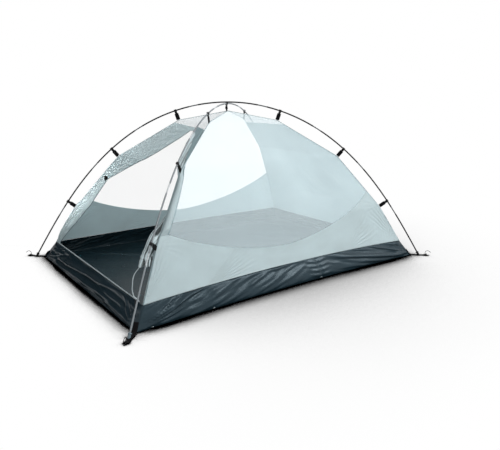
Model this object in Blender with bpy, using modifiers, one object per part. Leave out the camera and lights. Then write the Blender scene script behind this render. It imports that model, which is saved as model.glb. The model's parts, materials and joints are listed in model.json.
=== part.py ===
"""Backpacking tent, inner only: two crossing spring poles, a clipped-on canopy and a bathtub floor.

Metres, +Z up. The door is on the short side that faces -Y, and the long sides face +X and -X.
The corners are named by where they stand: front is -Y, right is +X.
"""
import math

import bmesh
import bpy
from mathutils import Matrix, Vector

# Tent sizes
FLOOR_LENGTH = 2.10
FLOOR_WIDTH = 1.50
PEAK_HEIGHT = 1.055
FABRIC = 0.002
GAP = 0.0003

# Bathtub floor
TUB_HEIGHT = 0.105
TUB_LEAN = 0.0865
SIDE_BOW = 0.032
SEAM_RISE = 0.015
FAR_BOW = 0.012
SEAM_GAP = 0.0008
RIDGE_GAP = 0.0013

# Poles
POLE_RADIUS = 0.0045
FERRULE_RADIUS = 0.0034
FERRULE_SHOWN = 0.060
FERRULE_INSERT = 0.040
SECTIONS_PER_POLE = 9
POLE_STEP = 0.055
FOOT_REACH = 0.051
FOOT_HEIGHT = 0.014
TIP_RADIUS = 0.003
TIP_LENGTH = 0.012

# Pole clips, with the length of pole from the peak to each clip
CLIP_RUNS = (0.352, 0.855, 1.335)
PEAK_CLIP_RUN = 0.024
CLIP_REACH = 0.064
PEAK_CLIP_REACH = 0.047
CLIP_WIDTH = 0.016
CLIP_WALL = 0.003
CLIP_MOUTH = 0.0065
CLIP_FLARE = 0.0008
CLIP_LIP = 0.001
CLIP_NECK_HALF = 0.0035
CLIP_NECK_DROP = 0.006
CLIP_SHOULDER_DROP = 0.010
STRAP_THICKNESS = 0.002
CLIP_LIFT = 0.0030

# Upper edge of the long sides' lower panels, with a tapering strip up the door-side ridge
LOW_PANEL_MIDDLE = 0.228
LOW_PANEL_RISE = 0.210
LOW_PANEL_TILT = 0.020
LOW_PANEL_POWER = 1.63
EDGE_STRIP_OVER_CLIP = 0.045
EDGE_STRIP_WIDTHS = (0.046, 0.046, 0.041, 0.029, 0.0)
SEAM_POINTS = 22
PANEL_COLUMNS = 16
WALL_ROWS = 12
ROOF_ROWS = 8
SHORT_COLUMNS = 14
PEAK_ROWS = 3
PEAK_TRIM = 0.0015

# Short walls and the door opening
ROOF_SEAM_DROP = 0.089
DOOR_ROOF_TILT = 0.013
DOOR_LOW_LEFT = -0.628
DOOR_TAB_HEIGHT = 0.560
DOOR_TAB_INSET = 0.123
DOOR_HEAD_DROP = 0.114
DOOR_HEAD_LEFT = 0.089
DOOR_EDGE_STRIP = 0.012
# Door edge between its corners, as shares of the way across and up
DOOR_LEFT_CURVE = ((0.02, 0.03), (0.31, 0.24), (0.55, 0.37), (0.77, 0.52), (0.90, 0.62), (0.935, 0.80))
DOOR_HEAD_CURVE = ((0.24, 0.17), (0.43, 0.30), (0.69, 0.47), (0.80, 0.61), (0.88, 0.75), (0.95, 0.87))
TAB_LIFT = 0.004
# The corner tab's four corners, away from the ridge and up the slope
TAB_CORNERS = ((0.040, 0.000), (0.106, -0.020), (0.120, 0.002), (0.072, 0.016))

# Gathered door, tied back beside the front right ridge
FOLDS = 6
FOLD_DEPTH = 0.24
FOLD_TURN = 5.0
RING_POINTS = 24
TIE_HEIGHT = 0.300
TIE_WIDTH = 0.012
TIE_THICKNESS = 0.0015
TOGGLE_RADIUS = 0.0032
TOGGLE_LENGTH = 0.022
TOGGLE_RIM = 0.002
TOGGLE_NECK_SHARE = 0.7
# Rise above the tie, half width, half depth, gap to the door edge and set back inside, from the hem up
GATHER_LOW = (
    (-0.045, 0.046, 0.038, 0.0020, 0.0),
    (-0.020, 0.040, 0.037, 0.0120, 0.0),
    (-0.010, 0.034, 0.034, 0.0180, 0.0),
    (0.010, 0.034, 0.034, 0.0180, 0.0),
    (0.035, 0.036, 0.032, 0.0080, 0.0),
    (0.080, 0.034, 0.030, 0.0020, 0.0),
    (0.110, 0.031, 0.028, 0.0006, 0.002),
    (0.152, 0.017, 0.017, 0.0006, 0.012),
)
# The same, with the share of the way from the neck up to the door's head in place of the rise
GATHER_HIGH = (
    (0.11, 0.014, 0.014, 0.0006, 0.030),
    (0.34, 0.013, 0.014, 0.0006, 0.034),
    (0.50, 0.014, 0.014, 0.0006, 0.024),
    (0.60, 0.020, 0.015, 0.0006, 0.006),
    (0.71, 0.034, 0.015, 0.0006, 0.0),
    (0.85, 0.050, 0.013, 0.0006, 0.0),
    (1.00, 0.046, 0.009, 0.0006, 0.0),
)
LONGEST_RING_STEP = 0.045

# Zip along the door sill
ZIP_THICKNESS = 0.0024
ZIP_TALL = 0.007
ZIP_RIGHT_END = 0.655
ZIP_TAIL_END = 0.649
ZIP_TAIL_RADIUS = 0.002
# Inward, outward and up from the tail's end, from the gathered door's hem to the sill
ZIP_TAIL_ROUTE = (
    (0.094, -0.022, 0.099),
    (0.068, -0.001, 0.062),
    (0.050, 0.009, 0.038),
    (0.027, 0.012, 0.016),
    (0.010, 0.006, 0.008),
)
ZIP_TAIL_TOP = Vector((0.026, 0.021))
SLIDER_SIZE = Vector((0.011, 0.0072, 0.0088))
SLIDER_X = 0.631
SLIDER_OVERLAP = 0.25
PULL_LENGTH = 0.026
PULL_WIDTH = 0.0056
PULL_THICKNESS = 0.0015
PULL_RIM = 0.0009
PULL_PIN_RADIUS = 0.001
PULL_PIN_OUT = 0.0026
PULL_EAR = Vector((0.0016, 0.0052, 0.0034))
PULL_REST_ANGLE = math.radians(24)

# Corner webbing, sockets and wire hooks
WEB_WIDTH = 0.025
WEB_THICKNESS = 0.0022
WEB_TOP = 0.040
WEB_LOW = 0.008
WEB_BAR_RADIUS = 0.0028
WEB_BAR_OUT = 0.060
WEB_BAR_HEIGHT = 0.0086
WEB_SLOT = Vector((0.0135, 0.008))
WEB_OFF_TUB = 0.0011
WEB_BEND_OUT = Vector((0.007, 0.0027))
WEB_LANDS_OUT = 0.016
WEB_LEAVES_PAST_FOOT = 0.018
WEB_LIFTS_BEFORE_BAR = 0.022
WEB_LIFT_SHARE = 0.15
# The straps lie a little off the diagonals, towards the long sides
WEB_TURN = math.radians(10)
SOCKET_RADIUS = 0.0075
SOCKET_FLANGE = 0.0105
SOCKET_FLANGE_LOW = 0.006
SOCKET_FLANGE_HIGH = 0.0085
SOCKET_FLANGE_RUN_IN = 0.003
SOCKET_MOUTH_SHARE = 0.85
SOCKET_DEPTH = 0.026
HOOK_WIRE = 0.0013
HOOK_RADIUS = 0.0165
HOOK_TILT = math.radians(55)
HOOK_START_DEGREES = -45
HOOK_END_DEGREES = -292
HOOK_STEPS = 18
# The hook's straight end, from its ring's centre, in ring radii
HOOK_END = Vector((1.3, 0.25))

HALF_WIDTH = FLOOR_WIDTH / 2
HALF_LENGTH = FLOOR_LENGTH / 2
HALF_DIAGONAL = math.hypot(HALF_WIDTH, HALF_LENGTH)
SEAM_DIAGONAL = HALF_DIAGONAL - TUB_LEAN
WIDTH_SHARE = HALF_WIDTH / HALF_DIAGONAL
LENGTH_SHARE = HALF_LENGTH / HALF_DIAGONAL
UP = Vector((0, 0, 1))
CORNERS = {
    "front_left": (-1, -1),
    "front_right": (1, -1),
    "back_right": (1, 1),
    "back_left": (-1, 1),
}

MATERIALS = {
    "pole_grey": ((0.065, 0.07, 0.075), 0.35, 0.6),
    "tub_nylon": ((0.035, 0.06, 0.07), 0.5, 0.0),
    "wall_nylon": ((0.46, 0.58, 0.62), 0.6, 0.0),
    "white_mesh": ((0.85, 0.87, 0.88), 0.8, 0.0),
    "black_plastic": ((0.012, 0.012, 0.013), 0.45, 0.0),
    "black_webbing": ((0.01, 0.01, 0.011), 0.85, 0.0),
    "grey_plastic": ((0.16, 0.2, 0.23), 0.5, 0.0),
    "steel_wire": ((0.5, 0.5, 0.5), 0.3, 1.0),
    "zip_grey": ((0.5, 0.53, 0.55), 0.7, 0.0),
}


def make_materials():
    made = {}
    for name, (colour, roughness, metallic) in MATERIALS.items():
        material = bpy.data.materials.new(name)
        material.use_nodes = True
        shader = material.node_tree.nodes["Principled BSDF"]
        shader.inputs["Base Color"].default_value = (*colour, 1)
        shader.inputs["Roughness"].default_value = roughness
        shader.inputs["Metallic"].default_value = metallic
        made[name] = material
    return made


def make_collection(name):
    collection = bpy.data.collections.new(name)
    bpy.context.scene.collection.children.link(collection)
    return collection


def clear_scene():
    for old in list(bpy.data.objects):
        bpy.data.objects.remove(old, do_unlink=True)


clear_scene()
PARTS = make_collection("backpacking_tent")
CUTTERS = make_collection("cutters")
FINISH = make_materials()


def add_object(name, data, finish, matrix=None):
    """Put mesh or curve data in the parts collection under a finish and a place."""
    piece = bpy.data.objects.new(name, data)
    PARTS.objects.link(piece)
    data.materials.clear()
    data.materials.append(FINISH[finish])
    if matrix is not None:
        piece.matrix_world = matrix
    return piece


def frame_at(origin, x_axis, y_axis, z_axis):
    """A placing matrix from an origin and three unit axes."""
    turn = Matrix((x_axis, y_axis, z_axis)).transposed().to_4x4()
    return Matrix.Translation(origin) @ turn


def shade_round(piece):
    for face in piece.data.polygons:
        face.use_smooth = True


def curve_to_mesh(piece, finish):
    """Turn a curve object into a welded closed mesh that keeps its name and place."""
    name = piece.name
    matrix = piece.matrix_world.copy()
    evaluated = piece.evaluated_get(bpy.context.evaluated_depsgraph_get())
    mesh = bpy.data.meshes.new_from_object(evaluated)
    bpy.data.objects.remove(piece, do_unlink=True)
    form = bmesh.new()
    form.from_mesh(mesh)
    bmesh.ops.remove_doubles(form, verts=form.verts, dist=0.00002)
    bmesh.ops.recalc_face_normals(form, faces=form.faces)
    form.to_mesh(mesh)
    form.free()
    return add_object(name, mesh, finish, matrix)


def make_rod(name, stations, finish, resolution=2):
    """A round rod through (point, radius) stations."""
    curve = bpy.data.curves.new(name, "CURVE")
    curve.dimensions = "3D"
    curve.bevel_depth = 1.0
    curve.bevel_resolution = resolution
    curve.use_fill_caps = True
    spline = curve.splines.new("POLY")
    spline.points.add(len(stations) - 1)
    for point, (place, radius) in zip(spline.points, stations):
        point.co = (*place, 1)
        point.radius = radius
    piece = bpy.data.objects.new(name, curve)
    PARTS.objects.link(piece)
    bpy.context.view_layer.update()
    solid = curve_to_mesh(piece, finish)
    shade_round(solid)
    return solid


def make_outline(name, loops, depth, finish, matrix):
    """A flat outline, with any holes as further loops, filled and extruded both ways to a depth."""
    curve = bpy.data.curves.new(name, "CURVE")
    curve.dimensions = "2D"
    curve.fill_mode = "BOTH"
    curve.extrude = depth / 2
    for loop in loops:
        spline = curve.splines.new("POLY")
        spline.points.add(len(loop) - 1)
        spline.use_cyclic_u = True
        for point, (x, y) in zip(spline.points, loop):
            point.co = (x, y, 0, 1)
    piece = bpy.data.objects.new(name, curve)
    PARTS.objects.link(piece)
    piece.matrix_world = matrix
    bpy.context.view_layer.update()
    return curve_to_mesh(piece, finish)


def arc(centre_x, centre_y, radius, start, end, count):
    """Points on an arc, with the angles in degrees."""
    points = []
    for index in range(count + 1):
        angle = math.radians(start + (end - start) * index / count)
        points.append((centre_x + radius * math.cos(angle), centre_y + radius * math.sin(angle)))
    return points


def make_box(name, size, matrix, finish):
    form = bmesh.new()
    bmesh.ops.create_cube(form, size=1)
    bmesh.ops.scale(form, vec=size, verts=form.verts)
    mesh = bpy.data.meshes.new(name)
    form.to_mesh(mesh)
    form.free()
    return add_object(name, mesh, finish, matrix)


def join_or_cut(piece, other, operation):
    """Add an EXACT Boolean and keep the other solid aside as a hidden cutter."""
    PARTS.objects.unlink(other)
    CUTTERS.objects.link(other)
    other.hide_render = True
    other.display_type = "WIRE"
    step = piece.modifiers.new(f"{operation.lower()}_{other.name}", "BOOLEAN")
    step.operation = operation
    step.object = other
    step.solver = "EXACT"


def add_thickness(piece, thickness, offset, even):
    step = piece.modifiers.new("thickness", "SOLIDIFY")
    step.thickness = thickness
    step.offset = offset
    step.use_even_offset = even


def make_sheet(name, columns, rows, place, finish, thickness=FABRIC):
    """A cloth panel: a grid whose corners 0..1 are sent to their places, given thickness both ways."""
    form = bmesh.new()
    bmesh.ops.create_grid(form, x_segments=columns, y_segments=rows, size=0.5)
    for corner in form.verts:
        corner.co = place(corner.co.x + 0.5, corner.co.y + 0.5)
    bmesh.ops.remove_doubles(form, verts=form.verts, dist=0.00001)
    bmesh.ops.recalc_face_normals(form, faces=form.faces)
    mesh = bpy.data.meshes.new(name)
    form.to_mesh(mesh)
    form.free()
    piece = add_object(name, mesh, finish)
    add_thickness(piece, thickness, 0, even=False)
    return piece


def mix(start, end, share):
    return start + (end - start) * share


def interpolate(table, key, key_column, value_column):
    """Read a table of rows that rise in one column at a value between two rows."""
    for low, high in zip(table, table[1:]):
        if key <= high[key_column]:
            break
    span = high[key_column] - low[key_column]
    share = (key - low[key_column]) / span
    return mix(low[value_column], high[value_column], share)


class Pole:
    """A straight springy rod bent into an arch: its bend at each point grows with its height there."""

    STEP = 0.001

    def __init__(self, corner_x, corner_y, peak_height):
        self.along = Vector((corner_x * HALF_WIDTH, corner_y * HALF_LENGTH, 0)).normalized()
        self.half_span = HALF_DIAGONAL + FOOT_REACH
        self.rise = peak_height - FOOT_HEIGHT
        low, high = math.radians(20), math.radians(89)
        for _ in range(36):
            foot_angle = (low + high) / 2
            self.table = self.bend(foot_angle)
            if self.table[-1][1] > self.half_span:
                low = foot_angle
            else:
                high = foot_angle
        self.half_run = self.table[-1][0]

    def bend(self, foot_angle):
        """Rows of (run, across, height) from the peak down to the foot."""
        stiffness = 2 * (1 - math.cos(foot_angle)) / self.rise**2
        run, across, height, angle = 0.0, 0.0, self.rise, 0.0
        table = [(run, across, height + FOOT_HEIGHT)]
        while height > 0:
            middle = angle + stiffness * height * self.STEP / 2
            across += math.cos(middle) * self.STEP
            height -= math.sin(middle) * self.STEP
            angle += stiffness * height * self.STEP
            run += self.STEP
            table.append((run, across, height + FOOT_HEIGHT))
        return table

    def point(self, run):
        """The centre line at a length of pole from the peak, negative towards the other foot."""
        reach = min(abs(run), self.half_run)
        index = min(int(reach / self.STEP), len(self.table) - 2)
        low, high = self.table[index], self.table[index + 1]
        share = reach / self.STEP - index
        across = mix(low[1], high[1], share) * (1 if run >= 0 else -1)
        return self.along * across + UP * mix(low[2], high[2], share)

    def direction(self, run):
        """The way the centre line runs, towards the foot that run is counted to."""
        ahead = self.point(min(run + 0.004, self.half_run))
        behind = self.point(max(run - 0.004, -self.half_run))
        return (ahead - behind).normalized()


UPPER_POLE = Pole(1, 1, PEAK_HEIGHT)
LOWER_POLE = Pole(1, -1, PEAK_HEIGHT - 2 * POLE_RADIUS - GAP)


def corner_out(corner):
    """The level unit vector from the tent's middle to a corner."""
    sign_x, sign_y = CORNERS[corner]
    return Vector((sign_x * HALF_WIDTH, sign_y * HALF_LENGTH, 0)).normalized()


def corner_run(corner):
    """The pole that ends at a corner, and 1 or -1 for the end of it."""
    sign_x, sign_y = CORNERS[corner]
    pole = UPPER_POLE if sign_x == sign_y else LOWER_POLE
    return pole, sign_x


def clip_frame(pole, sign, run):
    """Pole centre, direction out of the tent, and direction to the nearer long side at one clip."""
    centre = pole.point(sign * run)
    down_pole = pole.direction(sign * run) * sign
    side = UP.cross(pole.along).normalized()
    if side.x * sign < 0:
        side = -side
    outward = side.cross(down_pole).normalized()
    if outward.z < 0:
        outward = -outward
    return centre, outward, side


def make_ridge():
    """Rows of (height, level distance from the middle) up a canopy ridge, straight from clip to clip."""
    rows = [(TUB_HEIGHT, SEAM_DIAGONAL)]
    for run in reversed(CLIP_RUNS):
        centre, outward, _ = clip_frame(UPPER_POLE, 1, run)
        seam = centre - outward * CLIP_REACH
        rows.append((seam.z, math.hypot(seam.x, seam.y)))
    rows.append((LOWER_POLE.point(0).z - PEAK_CLIP_REACH, 0.0))
    return rows


RIDGE = make_ridge()
CANOPY_PEAK = RIDGE[-1][0]
EDGE_STRIP_TOP = RIDGE[2][0] + EDGE_STRIP_OVER_CLIP
DOOR_HEAD_HEIGHT = CANOPY_PEAK - DOOR_HEAD_DROP


def ridge_distance(height):
    """Level distance of the ridge from the tent's middle."""
    height = min(max(height, RIDGE[0][0]), RIDGE[-1][0])
    return interpolate(RIDGE, height, 0, 1)


def seam_height(side, across):
    """Height of the tub's top edge: it rises towards the middle of the long sides."""
    return TUB_HEIGHT + (SEAM_RISE * (1 - across**2) if side in ("right", "left") else 0.0)


def roof_seam(side, across):
    """Height of the seam under a short wall's peak mesh, which slopes a little over the door."""
    return CANOPY_PEAK - ROOF_SEAM_DROP - (DOOR_ROOF_TILT * across if side == "front" else 0.0)


def wall_point(side, across, height):
    """A point on a canopy wall, with across from -1 to 1 between its two ridges."""
    reach = ridge_distance(height)
    slack = (CANOPY_PEAK - height) / (CANOPY_PEAK - TUB_HEIGHT) * (1 - across**2)
    level_x = WIDTH_SHARE * reach
    level_y = LENGTH_SHARE * reach
    if side in ("right", "left"):
        sign = 1 if side == "right" else -1
        return Vector((sign * (level_x - SIDE_BOW * slack), across * level_y, height))
    sign = 1 if side == "back" else -1
    bow = FAR_BOW * slack if side == "back" else 0.0
    return Vector((across * level_x, sign * (level_y - bow), height))


def panel_point(side, across, height):
    """A point on a wall's panel, which stops short of the ridge seams."""
    share = LENGTH_SHARE if side in ("right", "left") else WIDTH_SHARE
    half = share * ridge_distance(height)
    return wall_point(side, across * max(0.0, 1 - RIDGE_GAP / half), height)


def row_height(bottom, top, rows, share):
    """Height of a panel row, with rows moved onto the ridge's bends so that neighbours bend alike."""
    heights = [mix(bottom, top, index / rows) for index in range(rows + 1)]
    margin = (top - bottom) / rows / 2
    for bend, _ in RIDGE[1:-1]:
        if bottom + margin < bend < top - margin:
            nearest = min(range(1, rows), key=lambda index: abs(heights[index] - bend))
            heights[nearest] = bend
    return heights[round(share * rows)]


def low_panel_outline(lift):
    """A long side's lower panel as (y, height) points, grown by a lift along its upper edge."""
    past = 2 * HALF_LENGTH
    outline = [(-past, -TUB_HEIGHT), (past, -TUB_HEIGHT)]
    strip_share = 1 - EDGE_STRIP_WIDTHS[0] / HALF_LENGTH
    for index in range(SEAM_POINTS):
        across = mix(1, -strip_share, index / SEAM_POINTS)
        rise = LOW_PANEL_RISE * abs(across) ** LOW_PANEL_POWER
        height = LOW_PANEL_MIDDLE + LOW_PANEL_TILT * across + rise + lift
        if index == 0:
            outline.append((past, height))
        outline.append((across * LENGTH_SHARE * ridge_distance(height), height))
    foot = LOW_PANEL_MIDDLE + LOW_PANEL_RISE * strip_share**LOW_PANEL_POWER - LOW_PANEL_TILT * strip_share
    for index, width in enumerate(EDGE_STRIP_WIDTHS):
        height = mix(foot, EDGE_STRIP_TOP, index / (len(EDGE_STRIP_WIDTHS) - 1)) + lift
        outline.append((width + lift - LENGTH_SHARE * ridge_distance(height), height))
    outline.append((-past, EDGE_STRIP_TOP + lift))
    return outline


def make_long_walls():
    """Each long wall's nylon and mesh: the same surface, cut along the lower panel's upper edge."""
    for side in ("right", "left"):
        def place(share_across, share_up):
            across = mix(-1, 1, share_across)
            bottom = seam_height(side, across) + SEAM_GAP
            height = row_height(bottom, CANOPY_PEAK - PEAK_TRIM, WALL_ROWS, share_up)
            return panel_point(side, across, height)

        sign = 1 if side == "right" else -1
        middle = Vector((sign * HALF_WIDTH / 2, 0, 0))
        matrix = frame_at(middle, Vector((0, 1, 0)), UP, Vector((1, 0, 0)))
        for kind, finish, lift, operation in (
            ("nylon", "wall_nylon", 0.0, "INTERSECT"),
            ("mesh", "white_mesh", SEAM_GAP, "DIFFERENCE"),
        ):
            wall = make_sheet(f"{side}_wall_{kind}", PANEL_COLUMNS, WALL_ROWS, place, finish)
            outline = low_panel_outline(lift)
            cutter = make_outline(f"{side}_{kind}_cutter", [outline], 1.2 * HALF_WIDTH, finish, matrix)
            join_or_cut(wall, cutter, operation)


def make_short_walls():
    """The far and door walls of nylon, each with a mesh triangle at the peak."""
    walls = {}
    for side, name in (("back", "far_wall"), ("front", "door_wall")):
        def lower(share_across, share_up):
            across = mix(-1, 1, share_across)
            height = row_height(TUB_HEIGHT + SEAM_GAP, roof_seam(side, across), ROOF_ROWS, share_up)
            return panel_point(side, across, height)

        def upper(share_across, share_up):
            across = mix(-1, 1, share_across)
            bottom = roof_seam(side, across) + SEAM_GAP
            height = row_height(bottom, CANOPY_PEAK - PEAK_TRIM, PEAK_ROWS, share_up)
            return panel_point(side, across, height)

        walls[side] = make_sheet(f"{name}_nylon", SHORT_COLUMNS, ROOF_ROWS, lower, "wall_nylon")
        make_sheet(f"{name}_peak_mesh", SHORT_COLUMNS, PEAK_ROWS, upper, "white_mesh")
    cut_door(walls["front"])


def door_outline():
    """The door opening seen from the front, as (x, height) points."""
    tab_x = -WIDTH_SHARE * ridge_distance(DOOR_TAB_HEIGHT) + DOOR_TAB_INSET
    sill = TUB_HEIGHT - 2 * FABRIC
    left = [(DOOR_LOW_LEFT, sill)]
    for across, up in DOOR_LEFT_CURVE:
        left.append((mix(DOOR_LOW_LEFT, tab_x, across), mix(TUB_HEIGHT, DOOR_TAB_HEIGHT, up)))
    head = [(tab_x, DOOR_TAB_HEIGHT)]
    for across, up in DOOR_HEAD_CURVE:
        head.append((mix(tab_x, DOOR_HEAD_LEFT, across), mix(DOOR_TAB_HEIGHT, DOOR_HEAD_HEIGHT, up)))
    head.append((DOOR_HEAD_LEFT, DOOR_HEAD_HEIGHT))
    right = [(door_edge_x(DOOR_HEAD_HEIGHT), DOOR_HEAD_HEIGHT)]
    for bend, _ in reversed(RIDGE[:-1]):
        if bend < DOOR_HEAD_HEIGHT:
            right.append((door_edge_x(bend), bend))
    right.append((door_edge_x(TUB_HEIGHT), sill))
    return left + head + right


def door_edge_x(height):
    """The opening's right edge, a narrow strip of nylon away from the ridge."""
    return WIDTH_SHARE * ridge_distance(height) - DOOR_EDGE_STRIP


def cut_door(wall):
    reach = HALF_LENGTH
    matrix = frame_at(Vector((0, -reach / 2, 0)), Vector((1, 0, 0)), Vector((0, 0, 1)), Vector((0, -1, 0)))
    cutter = make_outline("door_cutter", [door_outline()], reach * 1.2, "wall_nylon", matrix)
    join_or_cut(wall, cutter, "DIFFERENCE")


def make_tub():
    """Floor and raised sides in one proofed shell, its sides ending in the canopy seam."""
    floor_cells = 10
    form = bmesh.new()
    bmesh.ops.create_grid(form, x_segments=floor_cells, y_segments=floor_cells, size=1)
    edges = [edge for edge in form.edges if edge.is_boundary]
    grown = bmesh.ops.extrude_edge_only(form, edges=edges)
    rim = {item for item in grown["geom"] if isinstance(item, bmesh.types.BMVert)}
    for corner in form.verts:
        across, along = corner.co.x, corner.co.y
        if corner not in rim:
            corner.co.x = across * (HALF_WIDTH - SIDE_BOW * (1 - along**2))
            corner.co.y = along * HALF_LENGTH
        elif abs(across) > 0.999:
            side = "right" if across > 0 else "left"
            corner.co = wall_point(side, along, seam_height(side, along))
        else:
            side = "back" if along > 0 else "front"
            corner.co = wall_point(side, across, TUB_HEIGHT)
    bmesh.ops.recalc_face_normals(form, faces=form.faces)
    centre_face = min(form.faces, key=lambda face: face.calc_center_median().length)
    if centre_face.normal.z > 0:
        bmesh.ops.reverse_faces(form, faces=form.faces)
    mesh = bpy.data.meshes.new("tub_floor")
    form.to_mesh(mesh)
    form.free()
    add_thickness(add_object("tub_floor", mesh, "tub_nylon"), FABRIC, -1, even=True)


def gather_rows():
    """The gathered door's sizes at each height, from its hem to its head."""
    rows = [(TIE_HEIGHT + rise, *sizes) for rise, *sizes in GATHER_LOW]
    neck = rows[-1][0]
    rows += [(mix(neck, DOOR_HEAD_HEIGHT - SEAM_GAP, share), *sizes) for share, *sizes in GATHER_HIGH]
    return rows


GATHER = gather_rows()


def gather_axis(height):
    """Middle, half width and half depth of the gathered door at a height."""
    half_width, half_depth, gap, inside = (interpolate(GATHER, height, 0, column) for column in (1, 2, 3, 4))
    middle_x = door_edge_x(height) - gap - half_width
    middle_y = inside - LENGTH_SHARE * ridge_distance(height)
    return Vector((middle_x, middle_y, height)), half_width, half_depth


def gather_ring(height, grow=0.0, fold_depth=FOLD_DEPTH):
    """A level ring round the gathered door, with its folds turning as they fall."""
    middle, half_width, half_depth = gather_axis(height)
    ring = []
    for index in range(RING_POINTS):
        angle = math.tau * index / RING_POINTS
        fold = 1 - fold_depth * (0.5 + 0.5 * math.cos(FOLDS * angle + FOLD_TURN * height))
        x = (half_width * fold + grow) * math.cos(angle)
        y = (half_depth * fold + grow) * math.sin(angle)
        ring.append(middle + Vector((x, y, 0)))
    return ring


def make_loft(name, rings, finish, closed=False):
    """A closed skin over rings of equal counts, capped at both ends or run round into itself."""
    form = bmesh.new()
    loops = [[form.verts.new(place) for place in ring] for ring in rings]
    pairs = list(zip(loops, loops[1:]))
    if closed:
        pairs.append((loops[-1], loops[0]))
    else:
        form.faces.new(loops[0])
        form.faces.new(loops[-1])
    for lower, upper in pairs:
        for index in range(len(lower)):
            form.faces.new((lower[index - 1], lower[index], upper[index], upper[index - 1]))
    bmesh.ops.recalc_face_normals(form, faces=form.faces)
    mesh = bpy.data.meshes.new(name)
    form.to_mesh(mesh)
    form.free()
    return add_object(name, mesh, finish)


def make_gathered_door():
    heights = [row[0] for row in GATHER]
    extra = [mix(low, high, 0.5) for low, high in zip(heights, heights[1:]) if high - low > LONGEST_RING_STEP]
    rings = [gather_ring(height) for height in sorted(heights + extra)]
    shade_round(make_loft("gathered_door", rings, "wall_nylon"))


def make_door_tie():
    """A band round the gathered door, with a toggle that swivels on its ridge side."""
    low = TIE_HEIGHT - TIE_WIDTH / 2
    high = TIE_HEIGHT + TIE_WIDTH / 2
    outer = GAP + TIE_THICKNESS
    rings = []
    for height, grow in ((low, GAP), (high, GAP), (high, outer), (low, outer)):
        rings.append(gather_ring(height, grow, fold_depth=0.0))
    make_loft("door_tie", rings, "zip_grey", closed=True)
    half = TOGGLE_LENGTH / 2
    neck = TOGGLE_RADIUS * TOGGLE_NECK_SHARE
    profile = (
        (-half, neck),
        (TOGGLE_RIM - half, TOGGLE_RADIUS),
        (-TOGGLE_RIM, TOGGLE_RADIUS),
        (0, neck),
        (TOGGLE_RIM, TOGGLE_RADIUS),
        (half - TOGGLE_RIM, TOGGLE_RADIUS),
        (half, neck),
    )
    stations = [(Vector((0, 0, height)), radius) for height, radius in profile]
    toggle = make_rod("door_toggle", stations, "black_plastic", resolution=3)
    band_side = max(place.x for ring in rings for place in ring)
    middle, _, _ = gather_axis(TIE_HEIGHT)
    toggle.location = Vector((band_side + GAP + TOGGLE_RADIUS, middle.y, TIE_HEIGHT))


def zip_line():
    """Level y of the sill zip and the height of its lower edge."""
    return -LENGTH_SHARE * SEAM_DIAGONAL, TUB_HEIGHT + SEAM_GAP


def make_sill_zip():
    sill_y, bottom = zip_line()
    left_end = DOOR_LOW_LEFT + 2 * FABRIC
    length = ZIP_RIGHT_END - left_end
    centre = Vector((left_end + length / 2, sill_y, bottom + ZIP_TALL / 2))
    size = Vector((length, ZIP_THICKNESS, ZIP_TALL))
    make_box("sill_zip", size, Matrix.Translation(centre), "zip_grey")


def make_slider():
    """The slider astride the sill zip, with a pin between two ears that carries its pull."""
    sill_y, bottom = zip_line()
    centre = Vector((SLIDER_X, sill_y, bottom + SLIDER_OVERLAP * ZIP_TALL + SLIDER_SIZE.z / 2))
    slider = make_box("zip_slider", SLIDER_SIZE, Matrix.Translation(centre), "black_plastic")
    slot_size = Vector((2 * SLIDER_SIZE.x, ZIP_THICKNESS + 2 * GAP, 2 * SLIDER_SIZE.z))
    slot_top = bottom + ZIP_TALL + GAP
    slot_place = Matrix.Translation(Vector((SLIDER_X, sill_y, slot_top - SLIDER_SIZE.z)))
    join_or_cut(slider, make_box("slider_slot", slot_size, slot_place, "black_plastic"), "DIFFERENCE")

    pin = Vector((SLIDER_X, sill_y - SLIDER_SIZE.y / 2 - PULL_PIN_OUT, centre.z))
    half_pin = Vector((SLIDER_SIZE.x / 2 - 2 * GAP, 0, 0))
    pin_stations = [(pin - half_pin, PULL_PIN_RADIUS), (pin + half_pin, PULL_PIN_RADIUS)]
    join_or_cut(slider, make_rod("pull_pin", pin_stations, "black_plastic", 3), "UNION")
    for end in (-1, 1):
        ear_out = half_pin.x - GAP - PULL_EAR.x / 2
        ear_place = Matrix.Translation(pin + Vector((end * ear_out, PULL_PIN_RADIUS, 0)))
        ear = make_box(f"pull_ear_{end + 1}", PULL_EAR, ear_place, "black_plastic")
        join_or_cut(slider, ear, "UNION")
    return pin


def make_pull(pin):
    """The slider's pull, a flat tag with an eye round the slider's pin."""
    across = Vector((1, 0, 0))
    down = Vector((0, -math.sin(PULL_REST_ANGLE), -math.cos(PULL_REST_ANGLE)))
    eye = PULL_PIN_RADIUS + GAP
    outline = arc(0, 0, eye + PULL_RIM, 35, 325, 10)
    outline += [(PULL_LENGTH, -PULL_THICKNESS / 2), (PULL_LENGTH, PULL_THICKNESS / 2)]
    hole = arc(0, 0, eye, 0, 324, 9)
    matrix = frame_at(pin, down, down.cross(across), across)
    make_outline("zip_pull", [outline, hole], PULL_WIDTH, "black_plastic", matrix)


def make_zip_tail():
    """The loose half of the zip, from the gathered door's hem down to the sill."""
    sill_y, bottom = zip_line()
    end = Vector((ZIP_TAIL_END, sill_y, bottom + ZIP_TALL + GAP))
    hem, _, _ = gather_axis(GATHER[0][0])
    top = hem - Vector((ZIP_TAIL_TOP.x, ZIP_TAIL_TOP.y, GAP))
    route = [top - UP * 2 * ZIP_TAIL_RADIUS]
    route += [end + Vector((-inward, -outward, up)) for inward, outward, up in ZIP_TAIL_ROUTE]
    route.append(end + UP * 2 * ZIP_TAIL_RADIUS)
    places = [top] + smooth_route(route, 4) + [end]
    make_rod("zip_tail", [(place, ZIP_TAIL_RADIUS) for place in places], "zip_grey")


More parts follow.
